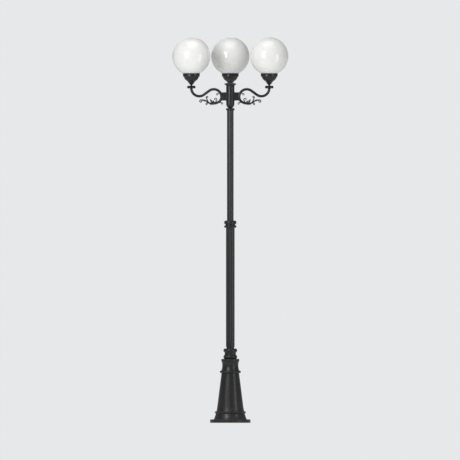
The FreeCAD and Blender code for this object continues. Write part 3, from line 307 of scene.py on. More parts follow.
def zinc(name="galvanised steel", painted_from=None):
    """Galvanised steel with its spangle, painted over above a height where one is given."""
    finish = Finish(name, 0.42, 0.85)
    spangle = finish.add("ShaderNodeTexVoronoi", {}, {"Vector": finish.place, "Scale": 130.0},
                         output="Distance")
    dull = tuple(value * 0.62 for value in colours().zinc)
    colour = finish.blend(finish.ramp(spangle, [(0.1, 0.0), (0.7, 1.0)]), tuple(colours().zinc), dull)
    gloss = 0.34 + spangle * 0.22
    if painted_from is not None:
        z = finish.add("ShaderNodeSeparateXYZ", {}, {0: finish.place}, output=2)
        ragged = z + finish.noise(90.0, 3.0, 0.6) * 0.004
        bare = finish.ramp((ragged - painted_from) * 200.0, [(0.0, 1.0), (1.0, 0.0)])
        colour = finish.blend(bare, tuple(colours().paint), colour)
        finish.set("Metallic", bare * 0.85)
        gloss = gloss - (1.0 - bare) * 0.05
    finish.set("Base Color", colour)
    finish.set("Roughness", gloss)
    finish.bump(finish.noise(420.0, 3.0, 0.6), 0.00008)
    return finish.material


def turned_metal(name, colour, roughness):
    """Bare or blackened metal with fine turning marks along its height."""
    finish = Finish(name, roughness, 1.0)
    rings = finish.noise(40.0, 3.0, 0.6, stretch=(0.5, 0.5, 90.0))
    finish.set("Base Color", finish.blend(finish.ramp(rings, [(0.3, 0.0), (0.7, 1.0)]), colour,
                                          tuple(value * 0.72 for value in colour)))
    finish.set("Roughness", roughness - 0.06 + rings * 0.18)
    finish.bump(rings, 0.00006)
    return finish.material


def moulded(name, colour, roughness, grain=700.0):
    """Moulded plastic or rubber with a fine skin."""
    finish = Finish(name, roughness)
    cloud = finish.noise(30.0, 4.0, 0.6)
    finish.set("Base Color", finish.blend(finish.ramp(cloud, [(0.3, 0.0), (0.7, 1.0)]), colour,
                                          tuple(value * 0.78 for value in colour)))
    finish.set("Roughness", roughness - 0.05 + cloud * 0.14)
    finish.bump(finish.noise(grain, 2.0, 0.5), 0.00005)
    return finish.material


def pearl_glass():
    """Pearl bulb glass."""
    finish = Finish("pearl bulb", 0.22, 0.0, Coat_Weight=0.3, Coat_Roughness=0.04)
    cloud = finish.noise(40.0, 3.0, 0.5)
    finish.set("Base Color", finish.blend(cloud, (0.88, 0.88, 0.86), (0.80, 0.80, 0.79)))
    finish.set("Roughness", 0.18 + cloud * 0.1)
    return finish.material


IRON = {"grain": 330.0, "grain_depth": 0.00035, "roughness": 0.40}
CAST = {"grain": 520.0, "grain_depth": 0.00022, "roughness": 0.37}
DRAWN = {"grain": 800.0, "grain_depth": 0.00008, "roughness": 0.33}
FINISHES = {}      # by slot, and by node for parts with a finish of their own
OWN_FINISHES = {}  # by slot, for pieces made here whose finish differs from the solids'


def make_finishes():
    FINISHES["cast_iron"] = paint("paint over cast iron", **IRON)
    FINISHES["painted_cast"] = paint("paint over cast metal", **CAST)
    FINISHES["painted_steel"] = paint("paint over drawn steel", **DRAWN)
    OWN_FINISHES["cast_iron"] = paint("rubbed paint over cast iron", **IRON, rubbed=True)
    OWN_FINISHES["painted_cast"] = paint("rubbed paint over cast metal", **CAST, rubbed=True)
    FINISHES["skirt"] = paint("paint over grooved cast iron", **IRON, grooves=SKIRT_GROOVES)
    FINISHES["lower_pole"] = paint("paint over the lower pole", **DRAWN, grooves=LOWER_FLUTES)
    FINISHES["upper_pole"] = paint("paint over the upper pole", **DRAWN, grooves=UPPER_FLUTES)
    FINISHES["galvanised_steel"] = zinc()
    FINISHES["core_tube"] = zinc("galvanised tube, painted where it shows", low_z("lower_pole") - 0.03)
    FINISHES["bright_steel"] = turned_metal("stainless steel", (0.60, 0.60, 0.61), 0.30)
    OWN_FINISHES["bright_steel"] = turned_metal("blackened steel", (0.045, 0.045, 0.05), 0.34)
    FINISHES["brass_thread"] = turned_metal("turned brass", tuple(colours().brass), 0.28)
    FINISHES["lamp_cap_metal"] = turned_metal("rolled cap", (0.72, 0.72, 0.73), 0.25)
    FINISHES["cable_sheath"] = moulded("cable sheath", (0.022, 0.022, 0.024), 0.55)
    FINISHES["holder_black"] = moulded("moulded holder", (0.035, 0.031, 0.028), 0.34)
    FINISHES["terminal_white"] = moulded("moulded block", (0.74, 0.73, 0.69), 0.45)
    FINISHES["gasket_rubber"] = moulded("gasket rubber", (0.018, 0.018, 0.018), 0.68, 380.0)
    FINISHES["bulb_glass"] = pearl_glass()
    FINISHES["opal_globe"] = opal()


# ------------------------------------------------------------------ mesh helpers
def meshed(name, bm):
    """A mesh made from a bmesh, which is freed."""
    mesh = bpy.data.meshes.new(name)
    bm.to_mesh(mesh)
    bm.free()
    return mesh


def placed(name, data):
    """A new object in the scene that holds a mesh or a lamp."""
    item = bpy.data.objects.new(name, data)
    bpy.context.scene.collection.objects.link(item)
    return item


def finished(name, bm, slot, body, replaced, smooth_angle=40.0):
    """Turns a bmesh into a piece that rides on a body and stands for its CAD nodes."""
    bmesh.ops.remove_doubles(bm, verts=bm.verts, dist=1e-6)
    bmesh.ops.recalc_face_normals(bm, faces=bm.faces)
    dressed(name, meshed(name, bm), slot, body, replaced, smooth_angle)


def dressed(name, mesh, slot, body, replaced, smooth_angle=40.0):
    """Turns a mesh into such a piece and gives it its finish."""
    piece = placed(name, mesh)
    mesh.materials.clear()
    mesh.materials.append(OWN_FINISHES.get(slot, FINISHES[slot]))
    mesh.polygons.foreach_set("use_smooth", [True] * len(mesh.polygons))
    mesh.set_sharp_from_angle(angle=math.radians(smooth_angle))
    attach(piece, body)
    if replaced:
        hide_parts(*replaced)


def on_all_sides(name, mesh, part, reach=0.0):
    """Dresses a copy of a mesh made on the right, moved out by a reach, on each side of the post."""
    for side, angle in SIDES.items():
        copy = mesh.copy()
        copy.transform(Matrix.Rotation(math.radians(angle), 4, "Z")
                       @ Matrix.Translation((reach, 0.0, 0.0)))
        dressed(name + "_" + side, copy, "painted_cast", "post", [part + "_" + side], 60.0)
    bpy.data.meshes.remove(mesh)


def at_side(bm, side, reach):
    """Moves a bmesh made on the axis out by a reach, and turns it to its side of the post."""
    bmesh.ops.translate(bm, verts=bm.verts, vec=(reach, 0.0, 0.0))
    bmesh.ops.rotate(bm, verts=bm.verts, cent=(0.0, 0.0, 0.0),
                     matrix=Matrix.Rotation(math.radians(SIDES[side]), 3, "Z"))


class Lathe:
    """An outline in the radius-height plane, drawn vertex by vertex and then spun round the axis."""

    def __init__(self, radius, height):
        self.bm = bmesh.new()
        self.last = self.bm.verts.new((radius, 0.0, height))

    def to(self, radius, height):
        made = bmesh.ops.extrude_vert_indiv(self.bm, verts=[self.last])
        self.last = made["verts"][0]
        self.last.co = (radius, 0.0, height)
        return self

    def arc(self, centre_radius, centre_height, degrees, steps):
        """Carries the outline round a centre; positive degrees turn from +Z towards +X."""
        made = bmesh.ops.spin(self.bm, geom=[self.last], cent=(centre_radius, 0.0, centre_height),
                              axis=(0.0, 1.0, 0.0), angle=math.radians(degrees), steps=steps,
                              use_duplicate=False)
        self.last = made["geom_last"][0]
        return self

    def spin(self, steps):
        for vert in self.bm.verts:
            if vert.co.x < 1e-5:
                vert.co.x = 0.0
        bmesh.ops.spin(self.bm, geom=self.bm.verts[:] + self.bm.edges[:], cent=(0.0, 0.0, 0.0),
                       axis=(0.0, 0.0, 1.0), angle=2 * math.pi, steps=steps, use_merge=True,
                       use_duplicate=False)
        bmesh.ops.remove_doubles(self.bm, verts=self.bm.verts, dist=1e-6)
        return self.bm


class Rod:
    """A round rod led through straight runs and arcs in the X-Z plane, tapering as it goes."""

    def __init__(self, bm, x, z, heading, radius, sides=16):
        self.bm = bm
        self.here = Vector((x, 0.0, z))
        self.heading = math.radians(heading)
        self.radius = radius
        tilt = Matrix.Rotation(math.pi / 2 - self.heading, 4, "Y")
        made = bmesh.ops.create_circle(bm, cap_ends=False, segments=sides, radius=radius,
                                       matrix=Matrix.Translation(self.here) @ tilt)
        self.ring = made["verts"]
        self.cap()

    def direction(self, heading=None):
        angle = self.heading if heading is None else heading
        return Vector((math.cos(angle), 0.0, math.sin(angle)))

    def cap(self):
        edges = [edge for edge in self.bm.edges
                 if edge.verts[0] in self.ring and edge.verts[1] in self.ring]
        bmesh.ops.contextual_create(self.bm, geom=edges)

    def step(self, matrix, radius):
        """Extrudes the end ring, moves it by a matrix and brings it to a radius."""
        ring = set(self.ring)
        edges = [edge for vert in self.ring for edge in vert.link_edges if edge.other_vert(vert) in ring]
        made = bmesh.ops.extrude_edge_only(self.bm, edges=list(dict.fromkeys(edges)))
        self.ring = [item for item in made["geom"] if isinstance(item, bmesh.types.BMVert)]
        bmesh.ops.transform(self.bm, matrix=matrix, verts=self.ring)
        self.here = matrix @ self.here
        grow = radius / self.radius
        bmesh.ops.scale(self.bm, vec=(grow, grow, grow), verts=self.ring,
                        space=Matrix.Translation(-self.here))
        self.radius = radius

    def run(self, length, radius, steps=2):
        start = self.radius
        for number in range(1, steps + 1):
            self.step(Matrix.Translation(self.direction() * length / steps),
                      start + (radius - start) * number / steps)
        return self

    def turn(self, bend, degrees, radius, steps=None):
        """Turns left for positive degrees and right for negative ones."""
        count = steps or max(3, int(abs(degrees) / 11))
        side = 1.0 if degrees > 0 else -1.0
        centre = self.here + self.direction(self.heading + side * math.pi / 2) * bend
        angle = math.radians(degrees) / count
        move = (Matrix.Translation(centre) @ Matrix.Rotation(-angle, 4, "Y")
                @ Matrix.Translation(-centre))
        start = self.radius
        for number in range(1, count + 1):
            self.step(move, start + (radius - start) * number / count)
        self.heading += math.radians(degrees)
        return self

    def close(self):
        """Rounds the end like half a ball."""
        start = self.radius
        done = 0.0
        for angle in (28.0, 52.0, 72.0, 86.0):
            reach = start * math.sin(math.radians(angle))
            self.step(Matrix.Translation(self.direction() * (reach - done)),
                      start * math.cos(math.radians(angle)))
            done = reach
        self.cap()
        return self


def ball(bm, x, z, radius, squash=1.0):
    """A ball in the X-Z plane, squashed from front to back."""
    made = bmesh.ops.create_uvsphere(bm, u_segments=20, v_segments=12, radius=radius)
    bmesh.ops.scale(bm, vec=(1.0, squash, 1.0), verts=made["verts"])
    bmesh.ops.translate(bm, vec=(x, 0.0, z), verts=made["verts"])


def leaf(bm, length, width, thickness, roll, veins, place, blunt=1.0):
    """A cast leaf: a ball drawn out along +X, with a midrib, side veins and a roll about Y."""
    scallop = 0.07     # depth of the scalloped edge, as a share of half the width
    end_share = 0.35   # thickness at base and tip, as a share of the middle's
    vein_share = 0.20  # share of the thickness that comes and goes with the side veins
    rib_share = 0.45   # what the midrib adds to the thickness at the base
    rib_width = 0.16   # as a share of half the width
    made = bmesh.ops.create_uvsphere(bm, u_segments=40, v_segments=44, radius=1.0)
    turn = math.radians(roll)
    bend = length / turn
    for vert in made["verts"]:
        along = (1.0 - vert.co.z) / 2
        ring = math.sqrt(max(1e-8, 1.0 - vert.co.z ** 2))
        across = vert.co.x / ring
        side = vert.co.y / ring
        outline = math.sin(math.pi * along ** 0.85) ** (0.8 / blunt) if 0.0 < along < 1.0 else 0.0
        half = width / 2 * outline * (1.0 - scallop * math.cos(2 * math.pi * veins * along))
        swell = thickness / 2 * side * (end_share + (1.0 - end_share) * outline)
        vein = 0.5 + 0.5 * math.cos(2 * math.pi * (veins * along - 0.9 * abs(across)))
        rib = rib_share * math.exp(-(across / rib_width) ** 2) * (1.0 - 0.6 * along)
        swell *= 1.0 - vein_share + vein_share * vein + rib
        facing = turn * along + math.pi / 2
        vert.co = Vector((bend * math.sin(turn * along) + swell * math.cos(facing), half * across,
                          bend * (1.0 - math.cos(turn * along)) + swell * math.sin(facing)))
    bmesh.ops.transform(bm, matrix=place, verts=made["verts"])


def in_plane(place, heading):
    """A frame at a place in the X-Z plane whose +X points along a heading."""
    return Matrix.Translation(place) @ Matrix.Rotation(-math.radians(heading), 4, "Y")


def facing_front(place, heading):
    """The same, turned a quarter about its own length, so that a leaf shows its face."""
    return in_plane(place, heading) @ Matrix.Rotation(math.pi / 2, 4, "X")


def blended(name, bm, voxel, passes):
    """Melts a bmesh's parts into one skin, as a casting has them."""
    bmesh.ops.recalc_face_normals(bm, faces=bm.faces)
    return melted(name, meshed(name, bm), voxel, passes)


def melted(name, mesh, voxel, passes):
    """Makes a mesh again from voxels and smooths it in a number of passes."""
    rough = placed(name + "_rough", mesh)
    remesh = rough.modifiers.new("skin", "REMESH")
    remesh.mode = "VOXEL"
    remesh.voxel_size = voxel
    smooth = rough.modifiers.new("smooth", "SMOOTH")
    smooth.iterations = passes
    smooth.factor = 0.5
    result = bpy.data.meshes.new_from_object(rough.evaluated_get(bpy.context.evaluated_depsgraph_get()))
    result.name = name
    bpy.data.objects.remove(rough)
    return result


def merged_copy(node):
    """A CAD node's mesh, copied, with its loose triangles merged."""
    bm = bmesh.new()
    bm.from_mesh(NODES[node].data)
    bmesh.ops.remove_doubles(bm, verts=bm.verts, dist=2e-6)
    return bm


def turned_outline(node, centre_x):
    """A turned part's outline as (radius, height) points in order, read on its +X side."""
    bm = merged_copy(node)
    on_cut = {}
    for vert in bm.verts:
        if abs(vert.co.y) < 2e-6 and vert.co.x - centre_x > -1e-6:
            on_cut[vert] = (vert.co.x - centre_x, vert.co.z)
    links = {vert: [edge.other_vert(vert) for edge in vert.link_edges if edge.other_vert(vert) in on_cut]
             for vert in on_cut}
    open_ends = [vert for vert in on_cut if len(links[vert]) == 1 and on_cut[vert][0] > 1e-6]
    for vert in open_ends:
        level = [other for other in open_ends if other is not vert and len(links[other]) == 1
                 and abs(other.co.z - vert.co.z) < 2e-6]
        if len(links[vert]) == 1 and level:
            nearest = min(level, key=lambda other: abs(other.co.x - vert.co.x))
            links[vert].append(nearest)
            links[nearest].append(vert)
    ends = [vert for vert in on_cut if len(links[vert]) == 1]
    here = ends[0] if ends else next(iter(on_cut))
    walk = [here]
    while True:
        onward = [other for other in links[here] if other not in walk]
        if not onward:
            break
        here = onward[0]
        walk.append(here)
    points = [on_cut[vert] for vert in walk]
    if len(points) != len(on_cut):
        raise RuntimeError(node + " has no plain outline")
    bm.free()
    if ends and points[0][0] > 1e-6:
        points.insert(0, (0.0, points[0][1]))
    if ends and points[-1][0] > 1e-6:
        points.append((0.0, points[-1][1]))
    return points, not ends


def screw_places(node=None):
    """Middle and outward direction of each set screw, or of those at one part's height."""
    source = merged_copy("set_screws")
    waiting = set(source.verts)
    places = []
    while waiting:
        island = [waiting.pop()]
        for vert in island:
            for edge in vert.link_edges:
                other = edge.other_vert(vert)
                if other in waiting:
                    waiting.discard(other)
                    island.append(other)
        lows = Vector([min(vert.co[axis] for vert in island) for axis in range(3)])
        highs = Vector([max(vert.co[axis] for vert in island) for axis in range(3)])
        middle = (lows + highs) / 2
        axis = max(range(3), key=lambda number: highs[number] - lows[number])
        outward = Vector((0.0, 0.0, 0.0))
        outward[axis] = -1.0 if axis == 2 or middle[axis] < 0 else 1.0
        if node is None or low_z(node) < middle.z < high_z(node):
            places.append((middle, outward))
    source.free()
    return sorted(places, key=lambda place: tuple(place[0]))


def drilled(bm, places):
    """Drills a hole from each place outwards, and from it in to the bore."""
    drill_r = 3.05 * MM
    drill_length = 60.0 * MM
    drill_out = 22.0 * MM  # from a screw's middle to the drill's middle
    bmesh.ops.recalc_face_normals(bm, faces=bm.faces)
    drills = bmesh.new()
    for middle, outward in places:
        turn = outward.to_track_quat("Z", "Y").to_matrix().to_4x4()
        place = Matrix.Translation(middle + outward * drill_out) @ turn
        bmesh.ops.create_cone(drills, cap_ends=True, segments=32, radius1=drill_r, radius2=drill_r,
                              depth=drill_length, matrix=place)
    tool = placed("drill", meshed("drill", drills))
    piece = placed("blank", meshed("blank", bm))
    holes = piece.modifiers.new("holes", "BOOLEAN")
    holes.operation = "DIFFERENCE"
    holes.solver = "EXACT"
    holes.object = tool
    result = bpy.data.meshes.new_from_object(piece.evaluated_get(bpy.context.evaluated_depsgraph_get()))
    for item in (tool, piece):
        bpy.data.objects.remove(item)
    return result


def softened(points, closed, corner):
    """An outline with its sharp corners rounded."""
    sharp = math.radians(24.0)  # flatter corners than this are part of a round stretch
    most = 0.45                 # share of an edge that the rounding of a corner may take
    steps = 4
    soft = []
    count = len(points)
    for number, point in enumerate(points):
        here = Vector(point)
        before = Vector(points[number - 1]) - here
        after = Vector(points[(number + 1) % count]) - here
        at_end = not closed and number in (0, count - 1)
        if at_end or math.pi - before.angle(after) < sharp:
            soft.append(here)
            continue
        start = here + before.normalized() * min(corner, before.length * most)
        end = here + after.normalized() * min(corner, after.length * most)
        for step in range(steps + 1):
            share = step / steps
            soft.append(start.lerp(here, share).lerp(here.lerp(end, share), share))
    return soft


# ------------------------------------------------------------------ the pieces
class LAMPPOST_OT_finishes(bpy.types.Operator):
    """Make the finishes and give every carried-over part its own"""

    bl_idname = "lamp_post.finishes"
    bl_label = "Finishes"

    def execute(self, context):
        make_finishes()
        for entry in frame["record"]["subparts"]:
            mesh = NODES[entry["node"]].data
            mesh.materials.clear()
            mesh.materials.append(FINISHES.get(entry["node"], FINISHES[entry["material_slot"]]))
        return {"FINISHED"}


class LAMPPOST_OT_globes(bpy.types.Operator):
    """Make the three opal globes with their necks and locking lugs"""

    bl_idname = "lamp_post.globes"
    bl_label = "Opal globes"

    def execute(self, context):
        for side in SIDES:
            bm = self.globe()
            at_side(bm, side, REACH)
            finished("opal_globe_" + side, bm, "opal_globe", "globe_" + side, ["globe_" + side], 50.0)
        return {"FINISHED"}

    def globe(self):
        wall = sizes().globe_wall
        neck = sizes().neck_radius
        foot = low_z("globe_left")
        inner = GLOBE_R - wall
        outer_meet = math.degrees(math.asin(neck / GLOBE_R))
        inner_meet = math.degrees(math.asin((neck - wall) / inner))
        lip = wall / 2
        skin_steps = 60
        lugs = 3
        lathe = Lathe(0.0, GLOBE_Z + GLOBE_R)
        lathe.arc(0.0, GLOBE_Z, 180.0 - outer_meet, skin_steps)
        lathe.to(neck, foot + lip).arc(neck - lip, foot + lip, 180.0, 8)
        lathe.to(neck - wall, GLOBE_Z - inner * math.cos(math.radians(inner_meet)))
        lathe.arc(0.0, GLOBE_Z, -(180.0 - inner_meet), skin_steps)
        bm = lathe.spin(sizes().globe_steps)
        for number in range(lugs):
            self.lug(bm, neck, number * 360.0 / lugs)
        return bm

    def lug(self, bm, neck, angle):
        """A rounded locking lug on the neck."""
        depth, width, height = 0.0056, 0.0182, 0.0042
        out = 0.0016   # from the neck's skin to the lug's middle
        rise = 0.0077  # from the neck's lower edge to the lug's top
        corner = 0.0008
        made = bmesh.ops.create_cube(bm, size=1.0)
        middle = (neck + out, 0.0, low_z("globe_left") + rise - height / 2)
        place = Matrix.Rotation(math.radians(angle), 4, "Z") @ Matrix.Translation(middle)
        shape = Matrix.Diagonal((depth, width, height, 1.0))
        bmesh.ops.transform(bm, matrix=place @ shape, verts=made["verts"])
        edges = list(dict.fromkeys(edge for vert in made["verts"] for edge in vert.link_edges))
        bmesh.ops.bevel(bm, geom=edges, offset=corner, offset_type="OFFSET", segments=3, profile=0.5,
                        affect="EDGES", material=-1)


class LAMPPOST_OT_sprays(bpy.types.Operator):
    """Make the scroll work with its leaves under each arm"""

    bl_idname = "lamp_post.sprays"
    bl_label = "Scroll work"

    def execute(self, context):
        mesh = blended("spray", self.spray(), sizes().cast_voxel, passes=4)
        on_all_sides("scroll_spray", mesh, "spray")
        return {"FINISHED"}

    def spray(self):
        """The winding stem in runs and turns, with its radius at the end of each, and what it bears."""
        bm = bmesh.new()
        stem = Rod(bm, SCROLL_END.x - 2.4 * MM, SCROLL_END.z + 1.7 * MM, -35.0, 10.2 * MM, 32)
        stem.run(11 * MM, 9.7 * MM).turn(45 * MM, 33.0, 8.8 * MM)
        first = stem.here.copy()
        stem.run(24 * MM, 7.6 * MM, 4)
        second = stem.here.copy()
        stem.turn(42 * MM, 36.0, 6.4 * MM)
        third = stem.here.copy()
        stem.run(22 * MM, 5.8 * MM, 4).turn(50 * MM, -34.0, 5.2 * MM).run(14 * MM, 4.8 * MM, 3)
        stem.turn(8.5 * MM, -290.0, 3.4 * MM, 26).close()
        ball(bm, stem.here.x, stem.here.z, 4.0 * MM, squash=0.95)
        self.curls(bm, first, third)
        self.leaves(bm, first, second, third)
        self.berries(bm, first)
        return bm

    def curls(self, bm, first, third):
        """The curls that branch off: root, heading, run, and two tightening turns."""
        thick = sizes().curl_radius
        tip_r = 3.8 * MM
        low_root = third + Vector((-7 * MM, 0, -3.5 * MM))
        for root, heading, length, wide, wide_turn, tight, tight_turn in (
                (first, 122.6, 28.3, 11.0, -150.0, 6.0, -130.0),
                (third, 64.9, 41.8, 8.5, 130.0, 5.0, 150.0),
                (low_root, 3.1, 18.6, 8.0, -130.0, 4.5, -130.0)):
            rod = Rod(bm, root.x, root.z, heading, thick * 1.15)
            rod.run(length * MM, thick * 0.9, 5).turn(wide * MM, wide_turn, thick * 0.74)
            rod.turn(tight * MM, tight_turn, thick * 0.56).close()
            ball(bm, rod.here.x, rod.here.z, tip_r, squash=0.95)

    def leaves(self, bm, first, second, third):
        """Leaves set at the stem's joints, with their faces to the front."""
        thick = sizes().leaf_thickness
        for root, out, up, heading, length, width, roll, veins in (
                (second, -10.0, 0.0, 56.0, 44.0, 17.0, 18.0, 4.0),
                (first, 2.0, 0.0, 66.0, 28.0, 12.5, -16.0, 3.0),
                (third, -4.0, -1.0, 40.0, 28.0, 11.0, 22.0, 3.0),
                (third, 22.0, 12.0, 12.0, 22.0, 9.5, -18.0, 3.0)):
            place = root + Vector((out * MM, 0.0, up * MM))
            leaf(bm, length * MM, width * MM, thick, roll, veins, facing_front(place, heading))

    def berries(self, bm, first):
        """Three berries in a row, out from the stem's first joint and a little below it."""
        drop = 7.5 * MM
        for out, radius in ((11.0, 4.8), (22.5, 5.2), (33.5, 4.6)):
            ball(bm, first.x + out * MM, first.z - drop, radius * MM)


class LAMPPOST_OT_calyxes(bpy.types.Operator):
    """Make the ring of rolled leaves between each arm and stem"""

    bl_idname = "lamp_post.calyxes"
    bl_label = "Calyxes"

    def execute(self, context):
        mesh = blended("calyx", self.calyx(), sizes().cast_voxel, passes=3)
        on_all_sides("leaf_calyx", mesh, "calyx", REACH)
        return {"FINISHED"}

    def calyx(self):
        """A cup between arm and stem, and six broad leaves that roll out, down and under."""
        bm = self.cup()
        leaves = 6
        root = Vector((13.6 * MM, 0.0, ARM_END_Z + 12.0 * MM))
        middle = Matrix.Translation((21.9 * MM, 0.0, ARM_END_Z + 6.4 * MM))  # of a leaf's roll
        lobe = middle @ Matrix.Diagonal((1.0, 1.12, 1.0, 1.0))
        lobe_r = 8.9 * MM
        for number in range(leaves):
            turn = Matrix.Rotation(math.radians(number * 360.0 / leaves), 4, "Z")
            leaf(bm, length=45.0 * MM, width=24.0 * MM, thickness=sizes().petal_thickness, roll=-258.0,
                 veins=3.0, place=turn @ in_plane(root, 56.0), blunt=1.5)
            bmesh.ops.create_uvsphere(bm, u_segments=24, v_segments=16, radius=lobe_r,
                                      matrix=turn @ lobe)
        return bm

    def cup(self):
        """The calyx's cup, spun from radii and heights over the arm's end, with a bore."""
        outline = ((10.7, -3.0), (12.8, -3.4), (14.0, 2.0), (16.0, 9.0), (16.2, 12.4), (14.2, 13.6),
                   (12.6, 11.0), (11.6, 6.1), (5.1, 6.1), (5.1, 0.1), (10.7, 0.1), (10.7, -3.0))
        places = [(radius * MM, ARM_END_Z + height * MM) for radius, height in outline]
        lathe = Lathe(*places[0])
        for place in places[1:]:
            lathe.to(*place)
        return lathe.spin(64)


class LAMPPOST_OT_tips(bpy.types.Operator):
    """Make the small leaf tips that lie against the foot of each bowl"""

    bl_idname = "lamp_post.tips"
    bl_label = "Leaf tips"

    def execute(self, context):
        tips = 4
        root = Vector((11.6 * MM, 0.0, low_z("cup_left") - 4.5 * MM))
        for side in SIDES:
            bm = bmesh.new()
            for number in range(tips):
                turn = Matrix.Rotation(math.radians(number * 360.0 / tips), 4, "Z")
                leaf(bm, length=18.5 * MM, width=12.5 * MM, thickness=4.2 * MM, roll=-12.0, veins=2.0,
                     place=turn @ in_plane(root, 62.0))
            at_side(bm, side, REACH)
            finished("leaf_tips_" + side, bm, "painted_cast", "post", None)
        return {"FINISHED"}


class LAMPPOST_OT_turned(bpy.types.Operator):
    """Make the turned castings again, finely spun and with softened corners"""

    bl_idname = "lamp_post.turned"
    bl_label = "Turned castings"

    def execute(self, context):
        ring_corner = 1.2
        for node, slot, corner in (("foot", "cast_iron", 2.2), ("foot_bead", "cast_iron", 1.4),
                                   ("waist_ring", "cast_iron", 1.6), ("neck", "cast_iron", 1.4),
                                   ("hub_cap", "painted_cast", 0.9), ("finial", "painted_cast", 0.7)):
            bm = self.spun(node, 0.0, corner)
            finished("turned_" + node, bm, slot, "post", [node])
        for node, slot in (("bead_collar", "cast_iron"), ("mid_ring", "painted_cast"),
                           ("top_ring", "painted_cast")):
            mesh = drilled(self.spun(node, 0.0, ring_corner), screw_places(node))
            dressed("turned_" + node, mesh, slot, "post", [node])
        for part, corner in (("head_stem", 0.6), ("cup", 0.8)):
            for side in SIDES:
                bm = self.spun(part + "_right", REACH, corner)
                at_side(bm, side, REACH)
                finished("turned_" + part + "_" + side, bm, "painted_cast", "post", [part + "_" + side])
        return {"FINISHED"}

    def spun(self, node, centre_x, corner):
        """A turned part spun again, with its corners rounded by a size in millimetres."""
        points, closed = turned_outline(node, centre_x)
        points = softened(points, closed, corner * MM)
        if closed:
            points.append(points[0])
        lathe = Lathe(*points[0])
        for point in points[1:]:
            lathe.to(*point)
        return lathe.spin(sizes().turned_steps)


class LAMPPOST_OT_castings(bpy.types.Operator):
    """Soften the corners of the arms and the hub, as a sand casting has them"""

    bl_idname = "lamp_post.castings"
    bl_label = "Softened castings"

    def execute(self, context):
        arm_voxel = 0.0011
        hub_voxel = 0.0014
        on_all_sides("cast_arm", self.soften("arm_right", arm_voxel), "arm")
        dressed("cast_hub", self.soften("hub", hub_voxel), "painted_cast", "post", ["hub"], 60.0)
        return {"FINISHED"}

    def soften(self, node, voxel):
        return melted(node, meshed(node + "_copy", merged_copy(node)), voxel, passes=4)


class LAMPPOST_OT_lamps(bpy.types.Operator):
    """Make the three pearl bulbs"""

    bl_idname = "lamp_post.lamps"
    bl_label = "Lamps"

    def execute(self, context):
        for side in SIDES:
            bm = self.bulb()
            at_side(bm, side, REACH)
            finished("pearl_bulb_" + side, bm, "bulb_glass", "post", ["bulb_" + side], 60.0)
        return {"FINISHED"}

    def bulb(self):
        """A bulb: its neck from the foot up, its shoulder below the ball, and a round top."""
        low = low_z("bulb_left")
        ball_r = 0.0300
        centre = high_z("bulb_left") - ball_r
        lathe = Lathe(0.0, low)
        for radius, height in ((0.0126, 0.0), (0.0146, 0.0012), (0.0152, 0.010), (0.0174, 0.021),
                               (0.0212, 0.031)):
            lathe.to(radius, low + height)
        for radius, below in ((0.0250, 0.0166), (0.0284, 0.0097), (ball_r, 0.0)):
            lathe.to(radius, centre - below)
        return lathe.arc(0.0, centre, -90.0, 14).spin(48)


class LAMPPOST_OT_screws(bpy.types.Operator):
    """Make the set screws with their six-sided sockets"""

    bl_idname = "lamp_post.screws"
    bl_label = "Set screws"

    def execute(self, context):
        bm = bmesh.new()
        for middle, outward in screw_places():
            self.screw(bm, middle, outward)
        finished("socket_screws", bm, "bright_steel", "post", ["set_screws"])
        return {"FINISHED"}

    def screw(self, bm, middle, outward):
        """A headless screw with a six-sided socket in its outer end."""
        half = 0.0040
        outer_r = 0.00295
        socket_r = 0.00172
        socket_depth = 0.0030
        turn = outward.to_track_quat("Z", "Y").to_matrix().to_4x4()
        face = Matrix.Translation(middle) @ turn @ Matrix.Translation((0, 0, half))
        outer = bmesh.ops.create_circle(bm, segments=24, radius=outer_r, matrix=face)["verts"]
        socket = bmesh.ops.create_circle(bm, segments=6, radius=socket_r, matrix=face)["verts"]
        rim = self.edges_of(outer)
        hexagon = bmesh.ops.subdivide_edges(bm, edges=self.edges_of(socket), cuts=3)
        hex_edges = [item for item in hexagon["geom"] if isinstance(item, bmesh.types.BMEdge)]
        bmesh.ops.bridge_loops(bm, edges=rim + hex_edges)
        self.sink(bm, hex_edges, -outward * socket_depth)
        self.sink(bm, rim, -outward * half * 2)

    def edges_of(self, verts):
        return list(dict.fromkeys(edge for vert in verts for edge in vert.link_edges))

    def sink(self, bm, edges, move):
        """Extrudes a loop by a move and closes it with a face."""
        made = bmesh.ops.extrude_edge_only(bm, edges=edges)
        verts = [item for item in made["geom"] if isinstance(item, bmesh.types.BMVert)]
        bmesh.ops.translate(bm, verts=verts, vec=move)
        ends = [item for item in made["geom"] if isinstance(item, bmesh.types.BMEdge)
                and item.verts[0] in verts and item.verts[1] in verts]
        bmesh.ops.contextual_create(bm, geom=ends)


